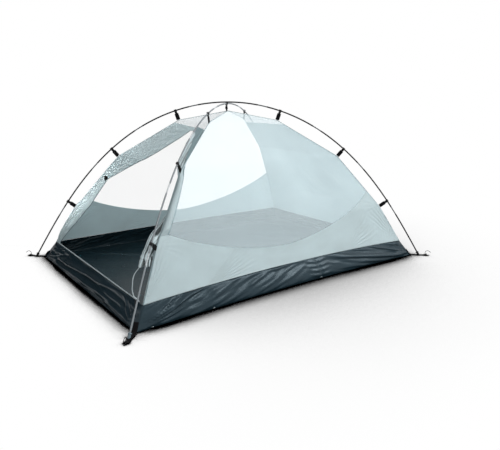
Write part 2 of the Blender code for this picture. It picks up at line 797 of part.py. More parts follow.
def make_corner_tab():
    """The dark patch that guards the door's upper left corner."""
    across = Vector((1, 0, 0))
    middle = DOOR_TAB_HEIGHT + TAB_LIFT
    low_point = wall_point("front", 0, middle - FABRIC)
    high_point = wall_point("front", 0, middle + FABRIC)
    up_slope = (high_point - low_point).normalized()
    normal = across.cross(up_slope).normalized()
    ridge_x = -WIDTH_SHARE * ridge_distance(middle)
    place = Vector((ridge_x, wall_point("front", 0, middle).y, middle))
    place += normal * (FABRIC / 2 + GAP + TIE_THICKNESS / 2)
    matrix = frame_at(place, across, up_slope, normal)
    make_outline("door_corner_tab", [TAB_CORNERS], TIE_THICKNESS, "black_webbing", matrix)


def smooth_route(points, steps):
    """Points on a smooth curve through the route's own points."""
    points = [Vector(point) for point in points]
    padded = [2 * points[0] - points[1]] + points + [2 * points[-1] - points[-2]]
    smooth = []
    for before, start, end, after in zip(padded, padded[1:], padded[2:], padded[3:]):
        for step in range(steps):
            share = step / steps
            smooth.append(
                0.5 * (2 * start + (end - before) * share
                       + (2 * before - 5 * start + 4 * end - after) * share**2
                       + (3 * start - before - 3 * end + after) * share**3)
            )
    smooth.append(points[-1])
    return smooth


def section_stations(pole, spans):
    """Rod stations along a pole for (start run, end run, radius) spans."""
    stations = []
    for start, end, radius in spans:
        steps = max(1, math.ceil(abs(end - start) / POLE_STEP))
        for index in range(steps + 1):
            run = mix(start, end, index / steps)
            if stations and index == 0:
                run += math.copysign(GAP, end - start)
            stations.append((pole.point(run), radius))
    return stations


def make_pole(name, pole):
    """Nine tubes, each outer one with a bare ferrule that slides into the tube nearer the peak."""
    pitch = 2 * pole.half_run / SECTIONS_PER_POLE
    sections = []
    half = pitch / 2
    middle_spans = [(-half, half, POLE_RADIUS)]
    sections.append(("section_5", middle_spans, (-half, half)))
    for sign in (-1, 1):
        for step in range(1, (SECTIONS_PER_POLE + 1) // 2):
            start = (step - 0.5) * pitch
            end = start + pitch
            is_last = step == (SECTIONS_PER_POLE - 1) // 2
            tube_end = end - TIP_LENGTH if is_last else end
            spans = [
                (sign * (start - FERRULE_INSERT), sign * (start + FERRULE_SHOWN), FERRULE_RADIUS),
                (sign * (start + FERRULE_SHOWN), sign * tube_end, POLE_RADIUS),
            ]
            if is_last:
                spans.append((sign * tube_end, sign * end, TIP_RADIUS))
            bores = () if is_last else (sign * end,)
            sections.append((f"section_{5 + sign * step}", spans, bores))
    for label, spans, bores in sections:
        rod = make_rod(f"{name}_{label}", section_stations(pole, spans), "pole_grey")
        for mouth in bores:
            sign = 1 if mouth > 0 else -1
            bore_spans = [(mouth + sign * 0.002, mouth - sign * (FERRULE_INSERT + GAP), FERRULE_RADIUS + GAP)]
            bore_stations = section_stations(pole, bore_spans)
            bore = make_rod(f"{name}_{label}_bore_{sign + 1}", bore_stations, "pole_grey")
            join_or_cut(rod, bore, "DIFFERENCE")


def clip_outline(reach):
    """The clip seen along its pole: a hem on the hinge axis, a flat strap and a hook with a side mouth."""
    inner = POLE_RADIUS + GAP
    outer = inner + CLIP_WALL
    half = STRAP_THICKNESS / 2
    low = reach - outer
    shoulder = low - CLIP_SHOULDER_DROP
    neck = low - CLIP_NECK_DROP
    outline = arc(0, 0, half, 180, 360, 4)
    outline += [(half, shoulder), (CLIP_NECK_HALF, neck)]
    outline += arc(0, reach, outer, -50, 90, 8)
    outline += [(-CLIP_MOUTH, reach + outer), (-CLIP_MOUTH - CLIP_LIP, reach + inner + CLIP_WALL / 2)]
    outline += [(-CLIP_MOUTH, reach + inner)]
    outline += arc(0, reach, inner, 90, -90, 8)
    outline += [(-CLIP_MOUTH, reach - inner - CLIP_FLARE), (-CLIP_MOUTH, low)]
    outline += [(-CLIP_NECK_HALF, neck), (-half, shoulder)]
    return outline


def reach_to_ridge(centre, outward):
    """Distance from a pole's centre line, straight in, to the canopy's ridge or peak."""
    near, far = 0.0, 2 * CLIP_REACH
    for _ in range(30):
        reach = (near + far) / 2
        place = centre - outward * reach
        if place.z > CANOPY_PEAK or math.hypot(place.x, place.y) > ridge_distance(place.z):
            near = reach
        else:
            far = reach
    return reach


def make_clip(name, pole, sign, run):
    centre, outward, side = clip_frame(pole, sign, run)
    length = reach_to_ridge(centre, outward) - CLIP_LIFT
    matrix = frame_at(centre - outward * length, side, outward, side.cross(outward))
    make_outline(name, [clip_outline(length)], CLIP_WIDTH, "black_plastic", matrix)


def make_clips():
    for corner in CORNERS:
        pole, sign = corner_run(corner)
        for number, run in enumerate(CLIP_RUNS, 1):
            make_clip(f"{corner}_clip_{number}", pole, sign, run)
    make_clip("peak_clip", LOWER_POLE, 1, PEAK_CLIP_RUN)


def web_path():
    """Centre line of a corner strap as (distance out of the tub's corner, height), ending at the hook bar."""
    edge = Vector((SEAM_DIAGONAL - HALF_DIAGONAL, TUB_HEIGHT)).normalized()
    off_tub = Vector((edge.y, -edge.x)) * (WEB_THICKNESS / 2 + WEB_OFF_TUB)
    flat = WEB_THICKNESS / 2
    bar = FOOT_REACH + WEB_BAR_OUT
    return [
        edge * WEB_TOP / edge.y + off_tub,
        edge * WEB_LOW / edge.y + off_tub,
        WEB_BEND_OUT,
        Vector((WEB_LANDS_OUT, flat)),
        Vector((FOOT_REACH + WEB_LEAVES_PAST_FOOT, flat)),
        Vector((bar - WEB_LIFTS_BEFORE_BAR, mix(flat, WEB_BAR_HEIGHT, WEB_LIFT_SHARE))),
        Vector((bar, WEB_BAR_HEIGHT)),
    ]


def strap_frame(corner):
    """A frame on the ground near the tub's corner: x out along the strap, y up."""
    sign_x, sign_y = CORNERS[corner]
    out = corner_out(corner)
    turned = Matrix.Rotation(-sign_x * sign_y * WEB_TURN, 3, "Z") @ out
    pivot = FOOT_REACH / 2
    return frame_at(out * (HALF_DIAGONAL + pivot) - turned * pivot, turned, UP, turned.cross(UP))


def band_outline(path, thickness, end_radius):
    """Outline of a bent band with a round bar at its far end."""
    left, right = [], []
    for index, point in enumerate(path[:-1]):
        before = path[max(index - 1, 0)]
        after = path[index + 1]
        ahead = (after - before).normalized()
        normal = Vector((-ahead.y, ahead.x)) * thickness / 2
        left.append(point + normal)
        right.append(point - normal)
    run_in = path[-1] - path[-2]
    heading = math.degrees(math.atan2(run_in.y, run_in.x))
    spread = math.degrees(math.asin(thickness / 2 / end_radius))
    bar = arc(path[-1].x, path[-1].y, end_radius, heading - 180 + spread, heading + 180 - spread, 10)
    return [tuple(point) for point in right] + bar + [tuple(point) for point in reversed(left)]


def make_corner_straps():
    """Webbing from each tub corner under the pole foot to a hook bar."""
    path = web_path()
    outline = band_outline(path, WEB_THICKNESS, WEB_BAR_RADIUS)
    slot_out = path[-1].x - 0.65 * WEB_BAR_RADIUS - WEB_SLOT.x / 2
    slot_size = Vector((WEB_SLOT.x, 4 * WEB_BAR_HEIGHT, WEB_SLOT.y))
    for corner in CORNERS:
        matrix = strap_frame(corner)
        strap = make_outline(f"{corner}_strap", [outline], WEB_WIDTH, "black_webbing", matrix)
        slot_place = matrix @ Matrix.Translation(Vector((slot_out, WEB_THICKNESS, 0)))
        slot = make_box(f"{corner}_strap_slot", slot_size, slot_place, "black_webbing")
        join_or_cut(strap, slot, "DIFFERENCE")


def make_sockets():
    """A turned cup for each pole tip, its foot cut level where it stands on the strap."""
    tip_bore = TIP_RADIUS + 2 * GAP
    top = TIP_LENGTH - GAP
    profile = (
        (0, -SOCKET_DEPTH),
        (SOCKET_RADIUS, -SOCKET_DEPTH),
        (SOCKET_RADIUS, SOCKET_FLANGE_LOW - SOCKET_FLANGE_RUN_IN),
        (SOCKET_FLANGE, SOCKET_FLANGE_LOW),
        (SOCKET_FLANGE, SOCKET_FLANGE_HIGH),
        (SOCKET_RADIUS * SOCKET_MOUTH_SHARE, top),
        (tip_bore, top),
        (tip_bore, -GAP),
        (0, -GAP),
    )
    for corner in CORNERS:
        pole, sign = corner_run(corner)
        foot = pole.point(sign * pole.half_run)
        upward = -pole.direction(sign * pole.half_run) * sign
        across = upward.cross(UP).normalized()
        matrix = frame_at(foot, across, upward.cross(across), upward)
        form = bmesh.new()
        corners = [form.verts.new((radius, 0, height)) for radius, height in profile]
        line = [form.edges.new(pair) for pair in zip(corners, corners[1:])]
        bmesh.ops.spin(
            form, geom=line + corners, cent=(0, 0, 0), axis=(0, 0, 1),
            angle=math.tau, steps=16, use_merge=True,
        )
        bmesh.ops.remove_doubles(form, verts=form.verts, dist=0.00002)
        form.transform(matrix)
        level = WEB_THICKNESS + GAP
        cut = bmesh.ops.bisect_plane(
            form, geom=form.verts[:] + form.edges[:] + form.faces[:],
            plane_co=(0, 0, level), plane_no=(0, 0, -1), clear_outer=True,
        )
        rim = [item for item in cut["geom_cut"] if isinstance(item, bmesh.types.BMEdge)]
        bmesh.ops.contextual_create(form, geom=rim)
        bmesh.ops.recalc_face_normals(form, faces=form.faces)
        form.transform(matrix.inverted())
        mesh = bpy.data.meshes.new(f"{corner}_socket")
        form.to_mesh(mesh)
        form.free()
        add_object(f"{corner}_socket", mesh, "grey_plastic", matrix)


def make_wire_hooks():
    """An open wire ring through each strap's slot, its inside resting on the strap's end bar."""
    bar = web_path()[-1]
    offset = HOOK_RADIUS - HOOK_WIRE - GAP - WEB_BAR_RADIUS
    ring_x = offset * math.cos(HOOK_TILT)
    ring_y = offset * math.sin(HOOK_TILT)
    loop = arc(ring_x, ring_y, HOOK_RADIUS, HOOK_START_DEGREES, HOOK_END_DEGREES, HOOK_STEPS)
    loop.append((ring_x + HOOK_END.x * HOOK_RADIUS, ring_y + HOOK_END.y * HOOK_RADIUS))
    stations = [(Vector((x, 0, z)), HOOK_WIRE) for x, z in loop]
    for corner in CORNERS:
        strap = strap_frame(corner)
        out = strap.to_3x3() @ Vector((1, 0, 0))
        hook = make_rod(f"{corner}_hook", stations, "steel_wire")
        hook.matrix_world = frame_at(strap @ Vector((bar.x, bar.y, 0)), out, UP.cross(out), UP)


def main():
    make_pole("upper_pole", UPPER_POLE)
    make_pole("lower_pole", LOWER_POLE)
    make_tub()
    make_long_walls()
    make_short_walls()
    make_gathered_door()
    make_door_tie()
    make_sill_zip()
    make_pull(make_slider())
    make_zip_tail()
    make_corner_tab()
    make_clips()
    make_corner_straps()
    make_sockets()
    make_wire_hooks()


main()
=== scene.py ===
"""Looks of the pitched inner tent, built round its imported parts. Metres, +Z up, the door faces -Y."""
import json
import math

import bmesh
import bpy
from mathutils import Matrix, Vector, noise


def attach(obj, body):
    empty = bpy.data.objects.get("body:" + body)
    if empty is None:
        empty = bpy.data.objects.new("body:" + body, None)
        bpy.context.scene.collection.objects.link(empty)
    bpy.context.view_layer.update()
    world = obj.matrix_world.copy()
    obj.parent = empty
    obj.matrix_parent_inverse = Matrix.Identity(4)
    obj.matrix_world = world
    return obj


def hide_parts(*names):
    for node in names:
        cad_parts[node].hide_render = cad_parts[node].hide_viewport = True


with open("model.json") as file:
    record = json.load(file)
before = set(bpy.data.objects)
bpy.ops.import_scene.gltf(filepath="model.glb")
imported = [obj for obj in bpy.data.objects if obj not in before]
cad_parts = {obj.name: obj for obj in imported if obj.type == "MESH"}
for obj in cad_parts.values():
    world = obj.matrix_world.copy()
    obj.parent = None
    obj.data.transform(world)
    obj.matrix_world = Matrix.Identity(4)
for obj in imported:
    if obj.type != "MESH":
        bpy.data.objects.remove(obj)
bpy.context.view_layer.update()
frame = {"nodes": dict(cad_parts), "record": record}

# Camera, fitted to the photo's corners and seams
EYE = Vector((2.84423, -1.93659, 1.07860))
EYE_AZIMUTH = math.radians(53.288)
EYE_ELEVATION = math.radians(13.989)
EYE_ROLL = math.radians(0.141)
SENSOR = 36.0
LENS = 36.598
FACE_RIGHT = Vector((math.cos(EYE_AZIMUTH), math.sin(EYE_AZIMUTH)))
FACE_OUT = Vector((math.sin(EYE_AZIMUTH), -math.cos(EYE_AZIMUTH)))

# Tent sizes
HALF_WIDTH = 0.75
HALF_LENGTH = 1.05
HALF_DIAGONAL = math.hypot(HALF_WIDTH, HALF_LENGTH)
WIDTH_SHARE = HALF_WIDTH / HALF_DIAGONAL
LENGTH_SHARE = HALF_LENGTH / HALF_DIAGONAL
TUB_HEIGHT = 0.105
TUB_LEAN = 0.0865
SIDE_BOW = 0.032
SEAM_RISE = 0.015
FAR_BOW = 0.012
SEAM_GAP = 0.0008
SEAM_LAP = 0.0016
LAP_OUT = 0.0008
PEAK_GAP = 0.0015
ROOF_SEAM_DROP = 0.089
DOOR_ROOF_TILT = 0.013

# Poles
PEAK_HEIGHT = 1.055
FOOT_HEIGHT = 0.014
FOOT_REACH = 0.051
POLE_RADIUS = 0.0045
FERRULE_RADIUS = 0.0038
FERRULE_SHOWN = 0.060
TIP_RADIUS = 0.003
TIP_LENGTH = 0.012
SECTIONS = 9
GAP = 0.0003
CLIP_RUNS = (0.352, 0.855, 1.335)
CLIP_REACH = 0.064
PEAK_CLIP_RUN = 0.024
PEAK_CLIP_REACH = 0.047

# Long sides' lower panels and the strip that runs up the door-side ridge
LOW_PANEL_MIDDLE = 0.228
LOW_PANEL_RISE = 0.210
LOW_PANEL_TILT = 0.020
LOW_PANEL_POWER = 1.63
STRIP_OVER_CLIP = 0.045
STRIP_WIDTHS = (0.046, 0.046, 0.041, 0.029, 0.0)
STRIP_ROLL = 0.016
# How near to a clip the strip's roll is drawn in, from fully to not at all, and to what share
STRIP_PINCH = (0.015, 0.055)
STRIP_PINCHED = 0.1

# Door opening as (x, height) on the door wall, its curves as shares of the way between their ends
DOOR_SILL = (-0.628, 0.105)
DOOR_TAB_HEIGHT = 0.560
DOOR_TAB_INSET = 0.123
DOOR_HEAD_DROP = 0.114
DOOR_HEAD_X = 0.089
DOOR_LEFT_CURVE = ((0.02, 0.03), (0.31, 0.24), (0.55, 0.37), (0.77, 0.52), (0.90, 0.62), (0.935, 0.80))
DOOR_HEAD_CURVE = ((0.24, 0.17), (0.43, 0.30), (0.69, 0.47), (0.80, 0.61), (0.88, 0.75), (0.95, 0.87))
DOOR_EDGE_STRIP = 0.012
LEFT_STRIP_ROLL = 0.020
LEFT_EDGE_ROLL = 0.008
LEFT_CREASE = 0.0022
BAND_TAPE = 0.0020
BAND_SWELL = 0.006

CLOTH = 0.0005
WELD = 0.00005
UP = Vector((0, 0, 1))
WAY_X = Vector((1, 0, 0))
LONG_SIDES = ("right", "left")
SIDE_SIGN = {"right": 1, "left": -1, "back": 1, "front": -1}
CORNERS = {
    "front_left": (-1, -1),
    "front_right": (1, -1),
    "back_right": (1, 1),
    "back_left": (-1, 1),
}


def mix(start, end, share):
    return start + (end - start) * share


def smooth_step(low, high, value):
    share = min(max((value - low) / (high - low), 0.0), 1.0)
    return share * share * (3 - 2 * share)


def fading(share, start, end):
    """1 in the middle of a length, and down to 0 over a share of it at its start and at its end."""
    return smooth_step(0, start, share) * smooth_step(0, end, 1 - share)


def read_table(table, key):
    """Value at a key in rows of (key, value) that rise."""
    for low, high in zip(table, table[1:]):
        if key <= high[0]:
            break
    return mix(low[1], high[1], (key - low[0]) / (high[0] - low[0]))


# Camera

def make_camera():
    back = Vector((
        math.sin(EYE_AZIMUTH) * math.cos(EYE_ELEVATION),
        -math.cos(EYE_AZIMUTH) * math.cos(EYE_ELEVATION),
        math.sin(EYE_ELEVATION),
    ))
    right = Vector((math.cos(EYE_AZIMUTH), math.sin(EYE_AZIMUTH), 0))
    up = back.cross(right)
    turned_right = right * math.cos(EYE_ROLL) + up * math.sin(EYE_ROLL)
    turned_up = up * math.cos(EYE_ROLL) - right * math.sin(EYE_ROLL)
    camera = bpy.data.objects.new("camera", bpy.data.cameras.new("camera"))
    camera.data.sensor_width = SENSOR
    camera.data.lens = LENS
    turn = Matrix((turned_right, turned_up, back)).transposed().to_4x4()
    camera.matrix_world = Matrix.Translation(EYE) @ turn
    bpy.context.scene.collection.objects.link(camera)
    bpy.context.scene.camera = camera


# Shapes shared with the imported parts

class Arch:
    """A straight springy pole bent into an arch: its bend at each point grows with its height there."""

    STEP = 0.001
    FOOT_ANGLES = (20, 89)
    HALVINGS = 36
    HALF_CHORD = 0.004

    def __init__(self, side_x, side_y, peak_height):
        self.along = Vector((side_x * HALF_WIDTH, side_y * HALF_LENGTH, 0)).normalized()
        self.rise = peak_height - FOOT_HEIGHT
        low, high = (math.radians(angle) for angle in self.FOOT_ANGLES)
        for _ in range(self.HALVINGS):
            middle = (low + high) / 2
            self.rows = self.bend(middle)
            if self.rows[-1][1] > HALF_DIAGONAL + FOOT_REACH:
                low = middle
            else:
                high = middle
        self.half_run = self.rows[-1][0]

    def bend(self, foot_angle):
        """Rows of (run, level distance, height) from the peak to a foot that ends at this angle."""
        stiffness = 2 * (1 - math.cos(foot_angle)) / self.rise**2
        run, across, height, angle = 0.0, 0.0, self.rise, 0.0
        rows = [(run, across, height + FOOT_HEIGHT)]
        while height > 0:
            middle = angle + stiffness * height * self.STEP / 2
            across += math.cos(middle) * self.STEP
            height -= math.sin(middle) * self.STEP
            angle += stiffness * height * self.STEP
            run += self.STEP
            rows.append((run, across, height + FOOT_HEIGHT))
        return rows

    def point(self, run):
        reach = min(abs(run), self.half_run)
        index = min(int(reach / self.STEP), len(self.rows) - 2)
        low, high = self.rows[index], self.rows[index + 1]
        share = reach / self.STEP - index
        across = mix(low[1], high[1], share) * (1 if run >= 0 else -1)
        return self.along * across + UP * mix(low[2], high[2], share)

    def direction(self, run):
        ahead = self.point(min(run + self.HALF_CHORD, self.half_run))
        behind = self.point(max(run - self.HALF_CHORD, -self.half_run))
        return (ahead - behind).normalized()


UPPER_ARCH = Arch(1, 1, PEAK_HEIGHT)
LOWER_ARCH = Arch(1, -1, PEAK_HEIGHT - 2 * POLE_RADIUS - GAP)


def clip_frame(arch, run):
    """Pole centre, direction out of the tent and direction along the pole at a run from the peak."""
    centre = arch.point(run)
    along = arch.direction(run) * (1 if run >= 0 else -1)
    outward = UP.cross(arch.along).normalized().cross(along).normalized()
    return centre, (outward if outward.z > 0 else -outward), along


def make_ridge():
    """Rows of (height, level distance from the middle) up a canopy ridge, straight from clip to clip."""
    rows = [(TUB_HEIGHT, HALF_DIAGONAL - TUB_LEAN)]
    for run in reversed(CLIP_RUNS):
        centre, outward, _ = clip_frame(UPPER_ARCH, run)
        seam = centre - outward * CLIP_REACH
        rows.append((seam.z, math.hypot(seam.x, seam.y)))
    rows.append((LOWER_ARCH.point(0).z - PEAK_CLIP_REACH, 0.0))
    return rows


RIDGE = make_ridge()
CANOPY_PEAK = RIDGE[-1][0]
STRIP_TOP = RIDGE[2][0] + STRIP_OVER_CLIP
DOOR_HEAD = (DOOR_HEAD_X, CANOPY_PEAK - DOOR_HEAD_DROP)
SILL_Y = -LENGTH_SHARE * RIDGE[0][1]
SILL_HEIGHT = TUB_HEIGHT + SEAM_GAP


def ridge_reach(height):
    return read_table(RIDGE, min(max(height, TUB_HEIGHT), CANOPY_PEAK))


def seam_height(side, across):
    return TUB_HEIGHT + (SEAM_RISE * (1 - across**2) if side in LONG_SIDES else 0.0)


def roof_seam(side, across):
    """Height of the seam under a short wall's peak mesh, which slopes a little over the door."""
    return CANOPY_PEAK - ROOF_SEAM_DROP - (DOOR_ROOF_TILT * across if side == "front" else 0.0)


def wall_point(side, across, height):
    """A point on a canopy wall, with across from -1 to 1 between its two ridges."""
    reach = ridge_reach(height)
    looseness = (CANOPY_PEAK - height) / (CANOPY_PEAK - TUB_HEIGHT) * (1 - across**2)
    level_x = WIDTH_SHARE * reach
    level_y = LENGTH_SHARE * reach
    if side in LONG_SIDES:
        return Vector((SIDE_SIGN[side] * (level_x - SIDE_BOW * looseness), across * level_y, height))
    bow = FAR_BOW * looseness if side == "back" else 0.0
    return Vector((across * level_x, SIDE_SIGN[side] * (level_y - bow), height))


def floor_edge_x(along):
    """Half the floor's width at a share of its half length, drawn in at the middle."""
    return HALF_WIDTH - SIDE_BOW * (1 - along**2)


# Materials

SMOOTH = {"interpolation_type": "SMOOTHSTEP"}


def linear(hex_colour):
    """An sRGB colour such as #8090a0 as linear red, green, blue and alpha."""
    shares = [int(hex_colour[at:at + 2], 16) / 255 for at in (1, 3, 5)]
    return (*[s / 12.92 if s <= 0.04045 else ((s + 0.055) / 1.055) ** 2.4 for s in shares], 1.0)


def new_material(name):
    material = bpy.data.materials.new(name)
    material.use_nodes = True
    material.node_tree.nodes.clear()
    return material


def add_node(material, kind, settings=None, sockets=None):
    """One node with its settings, and each socket's plain value or the output or node it is linked to."""
    tree = material.node_tree
    made = tree.nodes.new(f"ShaderNode{kind}")
    for name, value in (settings or {}).items():
        setattr(made, name, value)
    for name, value in (sockets or {}).items():
        if isinstance(value, bpy.types.Node):
            value = value.outputs[0]
        if isinstance(value, bpy.types.NodeSocket):
            tree.links.new(value, made.inputs[name])
        else:
            made.inputs[name].default_value = value
    return made


def place_in(material, millimetres, on_cloth=True):
    """The cloth's own flat coordinates, or the object's, one unit to so many millimetres."""
    if on_cloth:
        flat = add_node(material, "UVMap", {"uv_map": "cloth"})
    else:
        flat = add_node(material, "TexCoord").outputs["Object"]
    scale = 1000 / millimetres
    return add_node(material, "Mapping", None, {"Vector": flat, "Scale": (scale, scale, scale)})


def ranged(value, low, high, start, end):
    """The sockets that send a value between low and high to between start and end."""
    return {"Value": value, "From Min": low, "From Max": high, "To Min": start, "To Max": end}


def blotches(material, millimetres, detail, low, high, on_cloth=True):
    """Soft spots of noise, so many millimetres wide, stretched from low to high."""
    place = place_in(material, millimetres, on_cloth)
    sockets = {"Vector": place, "Scale": 1.0, "Detail": detail, "Roughness": 0.55}
    spots = add_node(material, "TexNoise", None, sockets)
    return add_node(material, "MapRange", None, ranged(spots, 0.3, 0.7, low, high))


def weave_bump(material, thread_mm, height, strength):
    """Crossed threads, so many millimetres apart, as a bump."""
    split = add_node(material, "SeparateXYZ", None, {"Vector": place_in(material, thread_mm)})
    waves = []
    for axis in ("X", "Y"):
        turn = add_node(material, "Math", {"operation": "MULTIPLY"}, {0: split.outputs[axis], 1: math.tau})
        waves.append(add_node(material, "Math", {"operation": "SINE"}, {0: turn}))
    threads = add_node(material, "Math", {"operation": "ADD"}, {0: waves[0], 1: waves[1]})
    return add_node(material, "Bump", None, {"Height": threads, "Distance": height, "Strength": strength})


def canopy_nylon(name, colour, through, painted_fold_shade_reach=0.0):
    """Thin uncoated ripstop nylon: a soft sheen, light glowing through, and, given a reach, painted shade
    deep in its folds with a little painted light on what stands out.

    Its threads are drawn 2.5 mm apart, because the real ones are too fine to show.
    """
    material = new_material(name)
    tone = blotches(material, 200, 3.0, 0.95, 1.05)
    if painted_fold_shade_reach:
        # Painted shade: ambient occlusion darkens the colour in deep folds and lightens it a little where
        # nothing is near
        hollow = add_node(material, "AmbientOcclusion", {"samples": 8}, {"Distance": painted_fold_shade_reach})
        shade = add_node(material, "MapRange", SMOOTH, ranged(hollow.outputs["AO"], 0.30, 0.95, 0.12, 1.15))
        tone = add_node(material, "Math", {"operation": "MULTIPLY"}, {0: tone, 1: shade})
    cloth = add_node(material, "VectorMath", {"operation": "SCALE"}, {0: linear(colour)[:3], "Scale": tone})
    body = add_node(material, "BsdfPrincipled", None, {
        "Base Color": cloth, "Roughness": 0.55, "Sheen Weight": 0.15, "Sheen Roughness": 0.4,
        "Specular IOR Level": 0.3, "Normal": weave_bump(material, 2.5, 0.0002, 0.10),
    })
    glow = add_node(material, "BsdfTranslucent", None, {"Color": cloth})
    both = add_node(material, "MixShader", None, {"Fac": through, 1: body, 2: glow})
    add_node(material, "OutputMaterial", None, {"Surface": both})
    return material


def insect_mesh(name, colour, cover):
    """Fine polyester netting: much of it is holes, so what is behind it shows through.

    Its threads are drawn 3 mm apart, because the real ones are too fine to show.
    """
    material = new_material(name)
    tone = blotches(material, 250, 2.0, 0.97, 1.03)
    cloth = add_node(material, "VectorMath", {"operation": "SCALE"}, {0: linear(colour)[:3], "Scale": tone})
    body = add_node(material, "BsdfPrincipled", None, {
        "Base Color": cloth, "Roughness": 0.8, "Specular IOR Level": 0.1, "Alpha": cover,
        "Normal": weave_bump(material, 3.0, 0.0003, 0.4),
    })
    add_node(material, "OutputMaterial", None, {"Surface": body})
    return material


def tub_nylon(name, colour, shine, tint):
    """Tightly woven dark nylon: its waterproof coat gives the outside a soft gloss along folds."""
    material = new_material(name)
    tone = blotches(material, 166.67, 4.0, 0.85, 1.15)
    cloth = add_node(material, "VectorMath", {"operation": "SCALE"}, {0: linear(colour)[:3], "Scale": tone})
    body = add_node(material, "BsdfPrincipled", None, {
        "Base Color": cloth, "Roughness": blotches(material, 83.33, 3.0, 0.27, 0.36),
        "Specular IOR Level": shine, "Specular Tint": linear(tint),
        "Normal": weave_bump(material, 2.5, 0.0002, 0.12),
    })
    add_node(material, "OutputMaterial", None, {"Surface": body})
    return material


def hard_finish(name, colour, roughness, metallic, grain_mm, grain_depth, shine=0.5):
    """A hard material: a fine grain in its bump, and softer spots of it in its tone and its gloss."""
    material = new_material(name)
    tone = blotches(material, grain_mm * 5, 2.0, 0.92, 1.08, on_cloth=False)
    gloss = blotches(material, grain_mm * 2, 3.0, roughness * 0.85, roughness * 1.15, on_cloth=False)
    solid = add_node(material, "VectorMath", {"operation": "SCALE"}, {0: linear(colour)[:3], "Scale": tone})
    place = place_in(material, grain_mm, on_cloth=False)
    grain = add_node(material, "TexNoise", None, {"Vector": place, "Scale": 1.0, "Detail": 2.0})
    bump = add_node(material, "Bump", None, {"Height": grain, "Distance": grain_depth, "Strength": 0.5})
    body = add_node(material, "BsdfPrincipled", None, {
        "Base Color": solid, "Roughness": gloss, "Metallic": metallic, "Specular IOR Level": shine,
        "Normal": bump,
    })
    add_node(material, "OutputMaterial", None, {"Surface": body})
    return material


def make_finishes():
    return {
        # Ripstop nylon, woven: pale grey, glowing where light comes through it
        "wall_nylon": canopy_nylon("canopy_nylon", "#c3d2d5", 0.42),
        # The same nylon many layers thick: hardly any glow, with painted shade deep in its folds and a little
        # painted light on its crests
        "gathered_painted_shade_nylon": canopy_nylon("gathered_canopy_nylon_painted_fold_shade", "#c6d6da", 0.08, 0.030),
        # The same nylon folded double along seams: nearly opaque, and painted darker as the shade of doubled
        # cloth and of the shadow lines along ridges and strip edges
        "doubled_painted_shade_nylon": canopy_nylon("doubled_canopy_nylon_painted_shade", "#7f979d", 0.1),
        # Knitted polyester netting: a white haze over what is behind it. The far side's copy is painted paler
        # and nearly clear, as painted light where it is seen from the dim inside; the peak's copy is greyer,
        # with a little less cover
        "peak_mesh": insect_mesh("peak_mesh", "#c8d4d8", 0.24),
        "white_mesh": insect_mesh("insect_mesh", "#e2f3f8", 0.26),
        "far_painted_light_mesh": insect_mesh("far_side_insect_mesh_painted_light", "#f4fafc", 0.06),
        # Coated nylon outside and its bare face inside: nearly black, with a cool soft gloss outside only
        "tub_nylon": tub_nylon("coated_tub_nylon", "#16242b", 0.36, "#d8f2ff"),
        "tub_inside": tub_nylon("uncoated_tub_nylon", "#1a292f", 0.17, "#ffffff"),
        # Drawn aluminium tube, anodised and painted dark as shade: dull, with hardly a highlight
        "pole_painted_shade": hard_finish("anodised_aluminium_painted_shade", "#131416", 0.6, 0.0, 0.8, 0.00002, 0.2),
        # Its ferrules, painted grey as shade: a lighter band at each joint
        "ferrule_painted_shade": hard_finish("anodised_ferrule_painted_shade", "#4c5052", 0.5, 0.0, 0.8, 0.00002, 0.4),
        # Drawn aluminium tube, clear anodised: satin grey metal
        "pole_grey": hard_finish("anodised_aluminium", "#7c8286", 0.5, 0.5, 0.8, 0.00002),
        # Drawn aluminium ferrules, polished: the brightest metal of the poles
        "ferrule": hard_finish("polished_aluminium", "#b4b9bc", 0.4, 0.7, 0.8, 0.00001),
        # Moulded acetal: black with a small soft highlight on each edge
        "black_plastic": hard_finish("moulded_acetal", "#0c0c0e", 0.42, 0.0, 0.6, 0.00003, 0.25),
        # Woven polyester webbing: matt black with a coarse thread
        "black_webbing": hard_finish("polyester_webbing", "#0b0b0d", 0.8, 0.0, 1.6, 0.0003, 0.1),
        # Moulded nylon, grey: satin, on the lower pole's feet
        "grey_plastic": hard_finish("moulded_grey_nylon", "#5d6d75", 0.45, 0.0, 0.8, 0.00003),
        # Drawn steel wire, nickel plated: dark metal with a bright line
        "steel_wire": hard_finish("nickel_plated_wire", "#303033", 0.35, 0.6, 0.5, 0.00001),
        # Coil zip, woven and sewn, with the shadow gap at the opening's edge painted into it: a dull mid grey
        # line round the opening
        "door_hem": hard_finish("coil_zip_and_painted_shadow_gap", "#66757b", 0.6, 0.0, 1.2, 0.0002),
        # Woven seam tape, painted paler than the cloth that it crosses, as a highlight along the tape's edge
        "seam_tape": hard_finish("seam_tape_painted_highlight", "#e4edef", 0.65, 0.0, 1.2, 0.0002),
        # Woven zip tape and its nylon coil: pale and matt
        "zip_grey": hard_finish("zip_tape", "#bcc8cc", 0.65, 0.0, 1.2, 0.0002),
    }


FINISH = make_finishes()


# Mesh building

def add_piece(name, form, material):
    """A finished bmesh as an object at the origin, under a material."""
    mesh = bpy.data.meshes.new(name)
    form.to_mesh(mesh)
    form.free()
    piece = bpy.data.objects.new(name, mesh)
    bpy.context.scene.collection.objects.link(piece)
    mesh.materials.append(material)
    for face in mesh.polygons:
        face.use_smooth = True
    return piece


def settle(piece, body="tent", node=None):
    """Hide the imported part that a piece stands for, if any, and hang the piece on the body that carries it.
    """
    if node:
        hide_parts(node)
    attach(piece, body)


